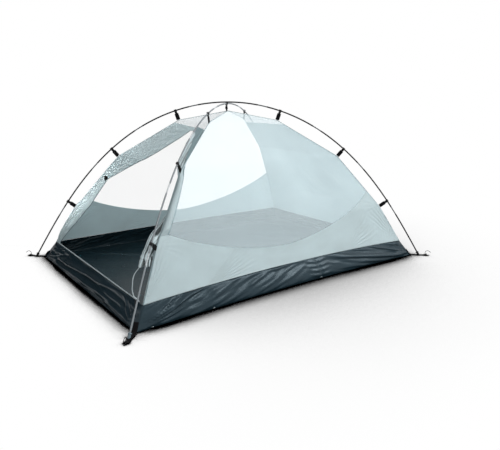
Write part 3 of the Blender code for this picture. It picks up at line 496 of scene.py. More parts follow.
def add_cloth(form, columns, rows, place, size, ripple=None):
    """A grid of cloth in a bmesh: place sends shares 0..1 to a point, size is its flat size for the UVs."""
    layer = form.loops.layers.uv.get("cloth") or form.loops.layers.uv.new("cloth")
    made = bmesh.ops.create_grid(form, x_segments=columns, y_segments=rows, size=0.5)["verts"]
    shares = {corner: (corner.co.x + 0.5, corner.co.y + 0.5) for corner in made}
    for corner, (across, up) in shares.items():
        corner.co = place(across, up)
    faces = {face for corner in made for face in corner.link_faces}
    for face in faces:
        for loop in face.loops:
            across, up = shares[loop.vert]
            loop[layer].uv = (across * size[0], up * size[1])
    if ripple:
        form.normal_update()
        for corner, (across, up) in shares.items():
            corner.co += corner.normal * ripple(across, up, corner.co)


def sheet_piece(name, form, finish, thickness=CLOTH):
    """Merge a cloth's grids, turn it one way and give it its thickness."""
    bmesh.ops.remove_doubles(form, verts=form.verts, dist=WELD)
    bmesh.ops.recalc_face_normals(form, faces=form.faces)
    piece = add_piece(name, form, FINISH[finish])
    step = piece.modifiers.new("thickness", "SOLIDIFY")
    step.thickness = thickness
    step.offset = 0.0
    step.use_even_offset = False
    return piece


def one_cloth(name, finish, columns, rows, place, size, ripple=None, thickness=CLOTH):
    """A piece of cloth from a single grid."""
    form = bmesh.new()
    add_cloth(form, columns, rows, place, size, ripple)
    return sheet_piece(name, form, finish, thickness)


# Folds and wrinkles

# Swells pressed into the tub's long and short sides, each with its lower line from one (distance along the
# side, height) to another, then its width and depth
LONG_SIDE_FOLDS = (
    ((-1.015, 0.035), (-0.640, 0.114), 0.030, 0.0050),
    ((-1.010, 0.045), (-0.850, 0.108), 0.016, 0.0032),
    ((-1.005, 0.060), (-0.885, 0.098), 0.011, 0.0028),
    ((-1.020, 0.024), (-0.700, 0.092), 0.010, 0.0024),
    ((-0.640, 0.060), (-0.380, 0.118), 0.030, 0.0040),
    ((-0.370, 0.052), (-0.215, 0.092), 0.020, 0.0032),
    ((-0.180, 0.098), (0.040, 0.112), 0.022, 0.0040),
    ((0.290, 0.100), (1.030, 0.008), 0.038, 0.0070),
    ((0.700, 0.116), (0.995, 0.044), 0.022, 0.0050),
    ((0.925, 0.104), (1.015, 0.055), 0.008, 0.0022),
    ((0.955, 0.106), (1.030, 0.072), 0.008, 0.0022),
)
SHORT_SIDE_FOLDS = (
    ((-0.670, 0.068), (-0.490, 0.082), 0.014, 0.0045),
    ((-0.590, 0.046), (0.480, 0.097), 0.026, 0.0070),
    ((-0.640, 0.018), (0.500, 0.050), 0.030, 0.0055),
    ((-0.100, 0.014), (0.560, 0.030), 0.016, 0.0030),
    ((0.300, 0.068), (0.600, 0.060), 0.014, 0.0028),
)
# Long soft creases on the floor inside the door
FLOOR_FOLDS = (
    ((-0.68, -0.85), (-0.30, -0.42), 0.060, 0.0050),
    ((-0.62, -0.95), (-0.20, -0.60), 0.030, 0.0020),
    ((-0.40, -0.92), (0.10, -0.55), 0.026, 0.0018),
    ((-0.20, -0.92), (0.20, -0.66), 0.020, 0.0015),
    ((-0.60, -0.50), (-0.35, -0.10), 0.040, 0.0025),
)
FLOOR_SWELL = 0.0030
# A fold's fade at its two ends, and how far under its line it starts, its crest and its end, in fold widths
FOLD_ENDS = (0.2, 0.25)
FOLD_START, FOLD_CREST = -0.2, 0.12

# The seam across the tub's long sides: its place along them, its groove's depth and width, and its puckers
LONG_TUB_SEAM = 0.21
SEAM_GROOVE = (0.0015, 0.004)
SEAM_THREAD = 0.003
PUCKER_HEIGHTS = (0.020, 0.044, 0.068, 0.090)
PUCKER_LENGTH = 0.13
PUCKER_DEPTH = 0.0030
PUCKER_WIDTH = 0.007
PUCKER_CLIMB = 0.012

# Ripples that spread from a pull point: angles in degrees from and to, count, reach and size
SHORT_TUB_FAN = ((0.73, 0.0), 100, 172, 6, 0.34, 0.0016)
TUB_FAN_INSET = 0.01
END_TUB_FAN = (100, 165, 4, 0.22, 0.0010)
START_TUB_FAN = (3, 40, 5, 0.48, 0.0024)
# On every wall, at both its ends, each after the row of RIDGE that it pulls from
CORNER_FANS = (
    (0, (100, 150, 9, 0.36, 0.0020)),
    (1, (245, 292, 7, 0.24, 0.0007)),
    (1, (140, 225, 6, 0.20, 0.0005)),
    (2, (150, 260, 8, 0.22, 0.0006)),
)
# On the long walls only, from places on the tub's seam
LONG_WALL_FANS = (
    ((-0.62, 0.10), 4, 40, 9, 0.42, 0.0017),
    ((0.45, 0.10), 8, 50, 7, 0.40, 0.0013),
)
HEAD_FAN = (150, 232, 6, 0.34, 0.0016)
TAB_FAN = (5, 75, 4, 0.30, 0.0014)
WALL_SWELL = 0.0015
WRINKLE_GAIN = 1.7

# Slack folds on the tub: lean in degrees, length, width and where in the noise they are read
LONG_LEFT_SLACK = (14, 0.26, 0.024, 1.0)
LONG_RIGHT_SLACK = (-9, 0.30, 0.024, 4.0)
SHORT_SLACK = (-4, 0.50, 0.030, 9.0)
SLACK_DEPTH = 0.0046
TUB_SWELL = 0.013
TUB_SLOPE = 1.07
FOLD_GAIN = 2.2


def fold_lift(along, height, folds):
    """How far cloth stands out at a place: each fold drops sharply at its lower line and fades above it."""
    lift = 0.0
    for start, end, width, depth in folds:
        run_x, run_y = end[0] - start[0], end[1] - start[1]
        length = math.hypot(run_x, run_y)
        off_x, off_y = along - start[0], height - start[1]
        share = (off_x * run_x + off_y * run_y) / length**2
        above = (run_x * off_y - run_y * off_x) / length / width
        if 0 < share < 1 and FOLD_START < above < 1:
            rise = smooth_step(FOLD_START, FOLD_CREST, above) * (1 - smooth_step(FOLD_CREST, 1, above))
            lift += depth * fading(share, *FOLD_ENDS) * rise
    return lift


def fan_wrinkle(along, height, centre, low, high, count, reach, size):
    """Ripples that spread from a pull point between two angles in degrees."""
    off_x, off_y = along - centre[0], height - centre[1]
    distance = math.hypot(off_x, off_y)
    angle = (math.degrees(math.atan2(off_y, off_x)) - low) % 360
    spread = high - low
    if distance > reach or angle > spread:
        return 0.0
    wander = noise.noise((distance * 9, centre[0] * 7, centre[1] * 7))
    turn = math.tau * (count * angle / spread + 0.6 * wander)
    away = distance / reach
    fade = smooth_step(0.0, 0.15, away) * (1 - smooth_step(0.35, 1.0, away))
    return size * math.sin(turn) * fading(angle / spread, 0.2, 0.2) * fade


def slack_folds(along, height, lean, length, width, seed):
    """Long slack folds that run at so many degrees, with softer swells between sharper creases."""
    turn = math.radians(lean)
    run = (along * math.cos(turn) + height * math.sin(turn)) / length
    rise = (height * math.cos(turn) - along * math.sin(turn)) / width
    swell = noise.noise((run, rise, seed))
    crease = 1 - 2 * abs(noise.noise((run * 1.4, rise * 1.3, seed + 7)))
    return SLACK_DEPTH * (swell + 0.35 * crease)


def seam_puckers(along, height):
    """A groove at the seam across the tub's long side, and short puckers that run off it."""
    beside = abs(along - LONG_TUB_SEAM)
    depth, width = SEAM_GROOVE
    lift = -depth * math.exp(-(beside / width) ** 2)
    for index, level in enumerate(PUCKER_HEIGHTS):
        length = PUCKER_LENGTH * (1 - 0.15 * (index % 2))
        if SEAM_THREAD < beside < length:
            away = beside / length
            rise = math.exp(-((height - level - PUCKER_CLIMB * away) / PUCKER_WIDTH) ** 2)
            lift += PUCKER_DEPTH * rise * smooth_step(0.02, 0.12, away) * (1 - smooth_step(0.2, 1, away))
    return lift


def tub_relief(side, along, up):
    """How far the tub's side stands out of its flat shape."""
    is_long = side in LONG_SIDES
    half = HALF_LENGTH if is_long else HALF_WIDTH
    height = up * TUB_HEIGHT * TUB_SLOPE
    lift = fold_lift(along, height, LONG_SIDE_FOLDS if is_long else SHORT_SIDE_FOLDS)
    if is_long:
        near_seam = 1 - smooth_step(0.05, 0.25, abs(along - LONG_TUB_SEAM))
        left = slack_folds(along, height, *LONG_LEFT_SLACK) * (1 - smooth_step(0.0, 0.3, along))
        right = slack_folds(along, height, *LONG_RIGHT_SLACK) * smooth_step(0.1, 0.4, along)
        lift += (left + right) * (1 - 0.7 * near_seam) + seam_puckers(along, height)
    else:
        lift += slack_folds(along, height, *SHORT_SLACK) + fan_wrinkle(along, height, *SHORT_TUB_FAN)
    lift += fan_wrinkle(along, height, (half - TUB_FAN_INSET, 0.0), *END_TUB_FAN)
    lift += fan_wrinkle(along, height, (TUB_FAN_INSET - half, 0.0), *START_TUB_FAN)
    from_corner = half - abs(along)
    edges = smooth_step(0, 0.04, from_corner) * fading(up, 0.06, 0.06)
    # The swell is greatest, at TUB_SWELL, a third of the way up
    round_out = TUB_SWELL * 6.75 * up * (1 - up) ** 2 * smooth_step(0, 0.08, from_corner)
    return FOLD_GAIN * lift * edges + round_out


def wall_wrinkles(side, place):
    """Small ripples where the corners and the clips pull on a wall."""
    is_long = side in LONG_SIDES
    along = place.y if is_long else place.x
    share = LENGTH_SHARE if is_long else WIDTH_SHARE
    lift = WALL_SWELL * noise.noise((place.x * 2.2, place.y * 2.2, place.z * 3.1))
    for sign in (-1, 1):
        for row, fan in CORNER_FANS:
            height, reach = RIDGE[row]
            lift += fan_wrinkle(along * sign, place.z, (share * reach, height), *fan)
    if is_long:
        for fan in LONG_WALL_FANS:
            lift += fan_wrinkle(along, place.z, *fan)
    return lift * WRINKLE_GAIN


# Long walls

FOOT_COLUMNS = 10
PANEL_COLUMNS = 220
PANEL_ROWS = 60
LAP_FROM = 0.995
MESH_ROUNDS = 12
MESH_FIRST_HEIGHT = 0.5


def low_edge(across):
    """Height of the long sides' nylon at its upper edge."""
    across = max(across, STRIP_WIDTHS[0] / HALF_LENGTH - 1)
    rise = LOW_PANEL_RISE * abs(across) ** LOW_PANEL_POWER
    return LOW_PANEL_MIDDLE + LOW_PANEL_TILT * across + rise


STRIP_FOOT = low_edge(-1)


def strip_inner(height):
    """Where the edge strip's inner line lies across the wall, from -1 at the ridge."""
    steps = len(STRIP_WIDTHS) - 1
    rows = [(mix(STRIP_FOOT, STRIP_TOP, index / steps), width) for index, width in enumerate(STRIP_WIDTHS)]
    width = read_table(rows, min(max(height, STRIP_FOOT), STRIP_TOP))
    return -1 + width / (LENGTH_SHARE * ridge_reach(height))


def make_long_nylon(side):
    """The curved lower panel, and the strip up the door-side ridge, which rolls outwards."""
    split = strip_inner(STRIP_FOOT)
    turned = SIDE_SIGN[side]

    def low_place(across_share, up):
        column = across_share * (FOOT_COLUMNS + PANEL_COLUMNS)
        if column < FOOT_COLUMNS:
            across = mix(-1, split, column / FOOT_COLUMNS)
            top = low_edge(split)
        else:
            across = mix(split, 1, (column - FOOT_COLUMNS) / PANEL_COLUMNS)
            top = low_edge(across) + SEAM_LAP * smooth_step(0, 6, column - FOOT_COLUMNS)
        bottom = seam_height(side, across) + SEAM_GAP
        return wall_point(side, across, mix(bottom, top, up))

    def ripple(across_share, up, place):
        lap = LAP_OUT if up > LAP_FROM else 0.0
        return turned * (wall_wrinkles(side, place) * fading(up, 0.04, 0.03) + lap)

    def strip_place(across_share, up):
        height = mix(low_edge(split), STRIP_TOP, up)
        return wall_point(side, mix(-1, strip_inner(height), across_share), height)

    def strip_roll(across_share, up, place):
        wave = 1 + 0.25 * noise.noise((0.0, place.y * 14, place.z * 14))
        from_clip = min(abs(place.z - height) for height, _ in RIDGE[1:3])
        pinch = mix(STRIP_PINCHED, 1.0, smooth_step(*STRIP_PINCH, from_clip))
        bulge = math.sqrt(max(0.0, 1 - (2 * across_share - 1) ** 2))
        return turned * STRIP_ROLL * pinch * fading(up, 0.08, 0.25) * wave * bulge

    form = bmesh.new()
    add_cloth(form, FOOT_COLUMNS + PANEL_COLUMNS, PANEL_ROWS, low_place, (1.8, 0.3), ripple)
    add_cloth(form, 14, 90, strip_place, (0.06, 0.34), strip_roll)
    piece = sheet_piece(f"{side}_wall_nylon_cloth", form, "wall_nylon")
    settle(piece, node=f"{side}_wall_nylon")


def wall_ripple(side, foot_fade, top_fade):
    """A wall's wrinkles, which die out at its edges."""
    way = 1 if side == "right" else -1

    def ripple(across_share, up, place):
        edge = fading(across_share, 0.03, 0.03) * fading(up, foot_fade, top_fade)
        return way * wall_wrinkles(side, place) * edge

    return ripple


def make_long_mesh(side):
    """The netting from the nylon's curved edge up to the peak.

    Its left edge follows the strip, whose place depends on the height, so each corner is found in rounds.
    """
    def place(across_share, up):
        height = MESH_FIRST_HEIGHT
        for _ in range(MESH_ROUNDS):
            left = strip_inner(height) if height < STRIP_TOP else -1
            across = mix(left, 1, across_share)
            height = mix(low_edge(across) + SEAM_GAP, CANOPY_PEAK - PEAK_GAP, up)
        return wall_point(side, across, height)

    # The left side's netting is painted paler and nearly clear, as painted light where it is seen from the
    # dim inside
    finish = "white_mesh" if side == "right" else "far_painted_light_mesh"
    ripple = wall_ripple(side, 0.03, 0.05)
    piece = one_cloth(f"{side}_wall_mesh_cloth", finish, 130, 110, place, (1.4, 0.9), ripple)
    settle(piece, node=f"{side}_wall_mesh")


# Short walls

def make_far_wall():
    def place(across_share, up):
        across = mix(-1, 1, across_share)
        return wall_point("back", across, mix(SILL_HEIGHT, roof_seam("back", across), up))

    ripple = wall_ripple("back", 0.03, 0.03)
    piece = one_cloth("far_wall_nylon_cloth", "wall_nylon", 120, 120, place, (1.2, 1.0), ripple)
    settle(piece, node="far_wall_nylon")


def make_peak_mesh(side, name):
    """The small triangle of netting from the roof seam to the peak."""
    def place(across_share, up):
        across = mix(-1, 1, across_share)
        height = mix(roof_seam(side, across) + SEAM_GAP, CANOPY_PEAK - PEAK_GAP, up)
        return wall_point(side, across, height)

    piece = one_cloth(f"{name}_peak_mesh_cloth", "peak_mesh", 30, 24, place, (0.46, 0.34))
    settle(piece, node=f"{name}_peak_mesh")


def door_point(x, height):
    return Vector((x, -LENGTH_SHARE * ridge_reach(height), height))


def door_edge_x(height):
    return WIDTH_SHARE * ridge_reach(height) - DOOR_EDGE_STRIP


# The way out of the door wall at mid height
DOOR_OUT = WAY_X.cross(door_point(0, 0.65) - door_point(0, 0.45)).normalized()
DOOR_TAB = (DOOR_TAB_INSET - WIDTH_SHARE * ridge_reach(DOOR_TAB_HEIGHT), DOOR_TAB_HEIGHT)


def spread_points(points, count):
    """So many points at even steps along a broken line."""
    lengths = [0.0]
    for before, after in zip(points, points[1:]):
        lengths.append(lengths[-1] + math.dist(before, after))
    tables = [[(length, point[axis]) for length, point in zip(lengths, points)] for axis in (0, 1)]
    runs = [lengths[-1] * index / (count - 1) for index in range(count)]
    return [tuple(read_table(table, run) for table in tables) for run in runs]


def curve_between(start, end, shares):
    """A line of (x, height) between two points, through places given as shares of the way."""
    inner = [(mix(start[0], end[0], across), mix(start[1], end[1], up)) for across, up in shares]
    return [start, *inner, end]


# The opening's left edge, up from the sill to the tab, and its upper edge from there to the head
LEFT_EDGE = curve_between(DOOR_SILL, DOOR_TAB, DOOR_LEFT_CURVE)
HEAD_EDGE = curve_between(DOOR_TAB, DOOR_HEAD, DOOR_HEAD_CURVE)


def ridge_line(low, high, sign):
    """The door wall's ridge between two heights, as (x, height)."""
    heights = [low] + [bend for bend, _ in RIDGE if low < bend < high] + [high]
    return [(sign * WIDTH_SHARE * ridge_reach(height), height) for height in heights]


def add_door_strip(form, columns, rows, inner, outer, size, ripple=None):
    """Cloth on the door wall between two lines of points."""
    inner = spread_points(inner, columns + 1)
    outer = spread_points(outer, columns + 1)

    def place(along, out):
        index = round(along * columns)
        x = mix(inner[index][0], outer[index][0], out)
        return door_point(x, mix(inner[index][1], outer[index][1], out))

    add_cloth(form, columns, rows, place, size, ripple)


def left_strip_roll(along, out, place):
    """The narrow strip beside the left ridge rolls forward, with a crease down each side of its crest."""
    crest = math.sin(math.pi * out) ** 0.7
    edge = smooth_step(0.55, 1.0, out) * smooth_step(0.05, 0.3, along) * smooth_step(0.25, 0.6, 1 - along)
    crease = LEFT_CREASE * math.cos(math.tau * (2.4 * out + 0.8 * noise.noise((along * 5, 0.0, 2.0))))
    wave = 1 + 0.3 * noise.noise((0.0, 4.0, along * 9))
    roll = LEFT_STRIP_ROLL * crest * wave + LEFT_EDGE_ROLL * edge + crease * crest
    return fading(along, 0.10, 0.15) * roll


def band_relief(along, out, place):
    """The band over the opening: its zip tape's fold, puckers from the head and the tab, a slack swell."""
    pull = fan_wrinkle(place.x, place.z, DOOR_HEAD, *HEAD_FAN)
    pull += fan_wrinkle(place.x, place.z, DOOR_TAB, *TAB_FAN)
    pull += 0.005 * noise.noise((place.x * 7, place.z * 7, 6.0))
    tape = BAND_TAPE * (1 - smooth_step(0.16, 0.20, out))
    swell = fading(out, 0.06, 0.10) * (pull + BAND_SWELL * math.sin(math.pi * out))
    return fading(along, 0.05, 0.03) * (swell + tape)


def make_door_wall():
    """What the opening leaves: a strip up its left, the band over it, and a narrow strip down its right."""
    roof_left, roof_right = roof_seam("front", -1), roof_seam("front", 1)
    right_x = WIDTH_SHARE * ridge_reach(roof_right)
    head_roof = (DOOR_HEAD[0], roof_seam("front", DOOR_HEAD[0] / right_x))
    head_edge = (door_edge_x(DOOR_HEAD[1]), DOOR_HEAD[1])
    left_in = [(DOOR_SILL[0], SILL_HEIGHT)] + LEFT_EDGE[1:]
    left_out = ridge_line(SILL_HEIGHT, DOOR_TAB_HEIGHT, -1)
    roof = ridge_line(DOOR_TAB_HEIGHT, roof_left, -1) + [head_roof]
    right_out = ridge_line(SILL_HEIGHT, roof_right, 1)[::-1]
    right_in = [head_edge] + [(x - DOOR_EDGE_STRIP, height) for x, height in right_out[1:]]
    form = bmesh.new()
    add_door_strip(form, 110, 20, left_in, left_out, (0.5, 0.1), left_strip_roll)
    add_door_strip(form, 150, 40, HEAD_EDGE, roof, (0.7, 0.2), band_relief)
    add_door_strip(form, 16, 20, [DOOR_HEAD, head_edge], [head_roof, (right_x, roof_right)], (0.1, 0.03))
    add_door_strip(form, 90, 3, right_in, right_out, (0.9, 0.012))
    piece = sheet_piece("door_wall_nylon_cloth", form, "wall_nylon")
    settle(piece, node="door_wall_nylon")


# Tub

TUB_COLUMNS = 116
TUB_LENGTHS = 168
TUB_ROWS = 26
AT_EDGE = 0.9999


def tub_side(across, along):
    """The side that a place on the floor's edge belongs to, and its share along that side."""
    if abs(across) > AT_EDGE:
        return ("right" if across > 0 else "left"), along
    return ("back" if along > 0 else "front"), across


def tub_wall_place(across, along, up):
    side, share = tub_side(across, along)
    foot = Vector((across * floor_edge_x(along), along * HALF_LENGTH, 0))
    rim = wall_point(side, share, seam_height(side, share))
    if side in LONG_SIDES:
        return mix(foot, rim, up) + WAY_X * SIDE_SIGN[side] * tub_relief(side, share * HALF_LENGTH, up)
    return mix(foot, rim, up) + Vector((0, SIDE_SIGN[side], 0)) * tub_relief(side, share * HALF_WIDTH, up)


def floor_lift(x, y):
    """Soft creases in the floor, which die out at its edge."""
    edge = smooth_step(0, 0.12, HALF_WIDTH - SIDE_BOW - abs(x)) * smooth_step(0, 0.10, HALF_LENGTH - abs(y))
    ripple = FLOOR_SWELL * (1 + noise.noise((x * 3.0 + y * 2.0, y * 9.0 - x * 6.0, 0.5)))
    return edge * (fold_lift(x, y, FLOOR_FOLDS) + ripple)


def make_tub():
    """The floor as a grid, with its sides drawn up from its edge a row at a time."""
    form = bmesh.new()
    across_layer = form.verts.layers.float.new("across")
    along_layer = form.verts.layers.float.new("along")
    bmesh.ops.create_grid(form, x_segments=TUB_COLUMNS, y_segments=TUB_LENGTHS, size=1)
    for corner in form.verts:
        across, along = corner.co.x, corner.co.y
        corner[across_layer], corner[along_layer] = across, along
        x, y = across * floor_edge_x(along), along * HALF_LENGTH
        corner.co = (x, y, floor_lift(x, y))
    edges = [edge for edge in form.edges if edge.is_boundary]
    for row in range(1, TUB_ROWS + 1):
        grown = bmesh.ops.extrude_edge_only(form, edges=edges)["geom"]
        edges = [item for item in grown if isinstance(item, bmesh.types.BMEdge) and item.is_boundary]
        for corner in (item for item in grown if isinstance(item, bmesh.types.BMVert)):
            corner.co = tub_wall_place(corner[across_layer], corner[along_layer], row / TUB_ROWS)
    layer = form.loops.layers.uv.new("cloth")
    for face in form.faces:
        for loop in face.loops:
            place = loop.vert.co
            loop[layer].uv = (place.x + place.z * 0.7, place.y + place.z)
    bmesh.ops.recalc_face_normals(form, faces=form.faces)
    floor_face = min(form.faces, key=lambda face: face.calc_center_median().length)
    if floor_face.normal.z > 0:
        bmesh.ops.reverse_faces(form, faces=form.faces)
    piece = add_piece("tub_cloth", form, FINISH["tub_nylon"])
    piece.data.materials.append(FINISH["tub_inside"])
    step = piece.modifiers.new("thickness", "SOLIDIFY")
    step.material_offset = 1
    step.material_offset_rim = 0
    step.thickness = CLOTH
    step.offset = -1
    settle(piece, node="tub_floor")


# Sweeps and copies

def smooth_route(points, steps):
    """Points on a smooth curve through the route's own points."""
    points = [Vector(point) for point in points]
    padded = [2 * points[0] - points[1]] + points + [2 * points[-1] - points[-2]]
    smooth = []
    for before, start, end, after in zip(padded, padded[1:], padded[2:], padded[3:]):
        for step in range(steps):
            share = step / steps
            smooth.append(
                0.5 * (2 * start + (end - before) * share
                       + (2 * before - 5 * start + 4 * end - after) * share**2
                       + (3 * start - before - 3 * end + after) * share**3)
            )
    smooth.append(points[-1])
    return smooth


def way_along(points, index):
    """The direction of a line of points at one of them."""
    return (points[min(index + 1, len(points) - 1)] - points[max(index - 1, 0)]).normalized()


def sweep(form, stations, sides=16, finish_index=0):
    """A closed round skin through (place, radius) stations, by extruding a circle along them."""
    places = [place for place, _ in stations]
    side = way_along(places, 0).orthogonal()
    frames = []
    for index, (place, radius) in enumerate(stations):
        ahead = way_along(places, index)
        side = (side - ahead * side.dot(ahead)).normalized()
        turn = Matrix((side, ahead.cross(side), ahead)).transposed().to_4x4()
        frames.append(Matrix.Translation(place) @ turn @ Matrix.Diagonal((radius, radius, 1, 1)))
    before = set(form.faces)
    ring = bmesh.ops.create_circle(form, cap_ends=True, radius=1, segments=sides)["verts"]
    bmesh.ops.transform(form, matrix=frames[0], verts=ring)
    edges = list({edge for corner in ring for edge in corner.link_edges})
    for old, new in zip(frames, frames[1:]):
        grown = bmesh.ops.extrude_edge_only(form, edges=edges)["geom"]
        ring = [item for item in grown if isinstance(item, bmesh.types.BMVert)]
        edges = [item for item in grown if isinstance(item, bmesh.types.BMEdge) and item.is_boundary]
        bmesh.ops.transform(form, matrix=new @ old.inverted(), verts=ring)
    bmesh.ops.contextual_create(form, geom=edges)
    made = [face for face in form.faces if face not in before]
    bmesh.ops.recalc_face_normals(form, faces=made)
    for face in made:
        face.material_index = finish_index


def bevelled(piece, width, segments=2):
    """Round a hard piece's edges."""
    step = piece.modifiers.new("round_edges", "BEVEL")
    step.width = width
    step.segments = segments
    step.limit_method = "ANGLE"
    step.angle_limit = math.radians(35)
    return piece


def refine_node(name, finish, body, width):
    """A merged copy of a packed hard part with its edges rounded."""
    node = frame["nodes"][name]
    form = bmesh.new()
    form.from_mesh(node.data)
    form.transform(node.matrix_world)
    bmesh.ops.remove_doubles(form, verts=form.verts, dist=0.00001)
    bmesh.ops.dissolve_limit(form, angle_limit=math.radians(1), verts=form.verts, edges=form.edges)
    piece = bevelled(add_piece(f"{name}_moulded", form, FINISH[finish]), width)
    settle(piece, body, name)


# Gathered door

TIE_HEIGHT = 0.300
TIE_WIDTH = 0.012
TIE_THICKNESS = 0.0015
# Rise above the tie, half width, half depth, gap to the door edge and set back inside, from the hem up
GATHER_LOW = (
    (-0.045, 0.046, 0.038, 0.0020, 0.0),
    (-0.020, 0.040, 0.037, 0.0120, 0.0),
    (-0.010, 0.034, 0.034, 0.0180, 0.0),
    (0.010, 0.034, 0.034, 0.0180, 0.0),
    (0.035, 0.036, 0.032, 0.0080, 0.0),
    (0.080, 0.034, 0.030, 0.0020, 0.0),
    (0.110, 0.031, 0.028, 0.0006, 0.002),
    (0.152, 0.017, 0.017, 0.0006, 0.012),
)
# The same, with the share of the way from the neck up to the door's head in place of the rise
GATHER_HIGH = (
    (0.11, 0.014, 0.014, 0.0006, 0.030),
    (0.34, 0.013, 0.014, 0.0006, 0.034),
    (0.50, 0.014, 0.014, 0.0006, 0.024),
    (0.60, 0.020, 0.015, 0.0006, 0.006),
    (0.71, 0.034, 0.015, 0.0006, 0.0),
    (0.85, 0.050, 0.013, 0.0006, 0.0),
    (1.00, 0.046, 0.009, 0.0006, 0.0),
)
PLEATS = 27
PLEAT_COLUMNS = 4
WRAP_COLUMNS = 84
BUNDLE_COLUMNS = PLEATS * PLEAT_COLUMNS + WRAP_COLUMNS
WRAP_FROM = PLEATS * PLEAT_COLUMNS / BUNDLE_COLUMNS
WRAP_FOLDS = 3.5
# Depth of the creases and of the small folds between them, free and where the tie squeezes them
CREASE_DEPTHS = (0.74, 0.34)
SMALL_DEPTHS = (0.20, 0.06)
CRUMPLE = 0.14
SQUEEZE_REACH = 0.025
PLEAT_ROWS = 96
HEM_CLIMB = 0.020
HEM_WANDER = 0.006


def gather_rows():
    rows = [(TIE_HEIGHT + rise, *sizes) for rise, *sizes in GATHER_LOW]
    neck = rows[-1][0]
    return rows + [(mix(neck, DOOR_HEAD[1] - SEAM_GAP, share), *sizes) for share, *sizes in GATHER_HIGH]


GATHER = gather_rows()


def gather_axis(height):
    """Middle, half width and half depth of the gathered door at a height."""
    tables = [[(row[0], row[column]) for row in GATHER] for column in (1, 2, 3, 4)]
    half_width, half_depth, gap, inside = (read_table(table, height) for table in tables)
    middle_x = door_edge_x(height) - gap - half_width
    middle_y = inside - LENGTH_SHARE * ridge_reach(height)
    return Vector((middle_x, middle_y, height)), half_width, half_depth


def bundle_point(height, spread, reach, cover=0.0):
    """A place of the bundle's unit circle, at the bundle's size at a height, with a cover outside it."""
    middle, half_width, half_depth = gather_axis(height)
    flat = FACE_RIGHT * spread + FACE_OUT * reach
    out = Vector((half_width * flat.x, half_depth * flat.y, 0))
    if cover:
        out *= 1 + cover / flat.length / half_width
    return middle + out


def pleat_place(share):
    """A place in the bundle's unit circle along the inner cloth, which runs to and fro across it."""
    swing = math.sin(math.pi * (share * PLEATS - 0.5))
    swing = math.copysign(abs(swing) ** 0.75, swing)
    spread = (2 * share - 1) * 0.9
    return spread, math.sqrt(1 - spread * spread) * swing * 0.88


def wrap_place(share, height, squeeze):
    """A place along the outer cloth, once round the bundle with sharp creases between rounded folds."""
    angle = math.tau * (share + 0.25)
    across, out = math.cos(angle), math.sin(angle)
    wander = noise.noise((across * 1.3, out * 1.3, height * 9))
    turn = WRAP_FOLDS * angle + 9.0 * height + 2.2 * wander
    crease = (1 - abs(math.sin(turn))) ** 1.4
    small = (1 - abs(math.sin(2.3 * turn + 34 * height + 3))) ** 2
    crumple = CRUMPLE * noise.noise((across * 2.6, out * 2.6, height * 38)) * (1 - squeeze)
    reach = 1.04 - mix(*CREASE_DEPTHS, squeeze) * crease - mix(*SMALL_DEPTHS, squeeze) * small
    reach += 0.06 * wander + crumple
    return across * reach, out * reach


def make_gathered_door():
    """The door's cloth in a bundle: pleats to and fro inside, wrapped once round, loose below the tie."""
    def place(across_share, up):
        height = mix(GATHER[0][0], GATHER[-1][0], up)
        if across_share <= WRAP_FROM:
            spread, reach = pleat_place(across_share / WRAP_FROM)
        else:
            squeeze = math.exp(-((height - TIE_HEIGHT) / SQUEEZE_REACH) ** 2)
            spread, reach = wrap_place((across_share - WRAP_FROM) / (1 - WRAP_FROM), height, squeeze)
        climb = HEM_CLIMB * (0.5 + 0.5 * spread) * (1 - smooth_step(0.0, 0.10, up))
        climb += HEM_WANDER * noise.noise((spread * 2, reach * 2, 5.0)) * (1 - smooth_step(0.0, 0.05, up))
        return bundle_point(height, spread, reach) + UP * max(climb, 0.0)

    piece = one_cloth("gathered_door_cloth", "gathered_painted_shade_nylon", BUNDLE_COLUMNS, PLEAT_ROWS, place, (0.85, 0.8))
    settle(piece, node="gathered_door")


def make_door_tie():
    """The tie's soft band, drawn in with the door's folds."""
    def place(around, up):
        height = TIE_HEIGHT + TIE_WIDTH * (up - 0.5)
        return bundle_point(height, *wrap_place(around, height, 1.0), GAP + TIE_THICKNESS)

    size, thickness = (0.24, TIE_WIDTH), TIE_THICKNESS * 0.6
    piece = one_cloth("door_tie_band", "gathered_painted_shade_nylon", 96, 6, place, size, thickness=thickness)
    settle(piece, node="door_tie")


# Zip

ZIP_TALL = 0.007
ZIP_TAPE = 0.0010
ZIP_LEFT = DOOR_SILL[0] + 0.004
ZIP_RIGHT = 0.655
ZIP_TAIL_END = 0.649
TOOTH_PITCH = 0.0032
TOOTH_SIZE = (0.0018, 0.0024, 0.0030)
TOOTH_ROUNDING = 0.0005
ZIP_TAIL_WIDTH = 0.006
ZIP_COIL_RADIUS = 0.0012
# Where the coil runs on the tail, as a share of its width from the middle, and how its turns narrow
ZIP_COIL_PLACE = 0.42
ZIP_COIL_WAIST = 0.75
# The tail's top as (in, out) from the hem's middle, and its route as (in, out, up) from its lower end
ZIP_TAIL_TOP = (0.026, 0.021)
ZIP_TAIL_ROUTE = (
    (0.094, -0.022, 0.099),
    (0.068, -0.001, 0.062),
    (0.050, 0.009, 0.038),
    (0.027, 0.012, 0.016),
    (0.010, 0.006, 0.008),
)


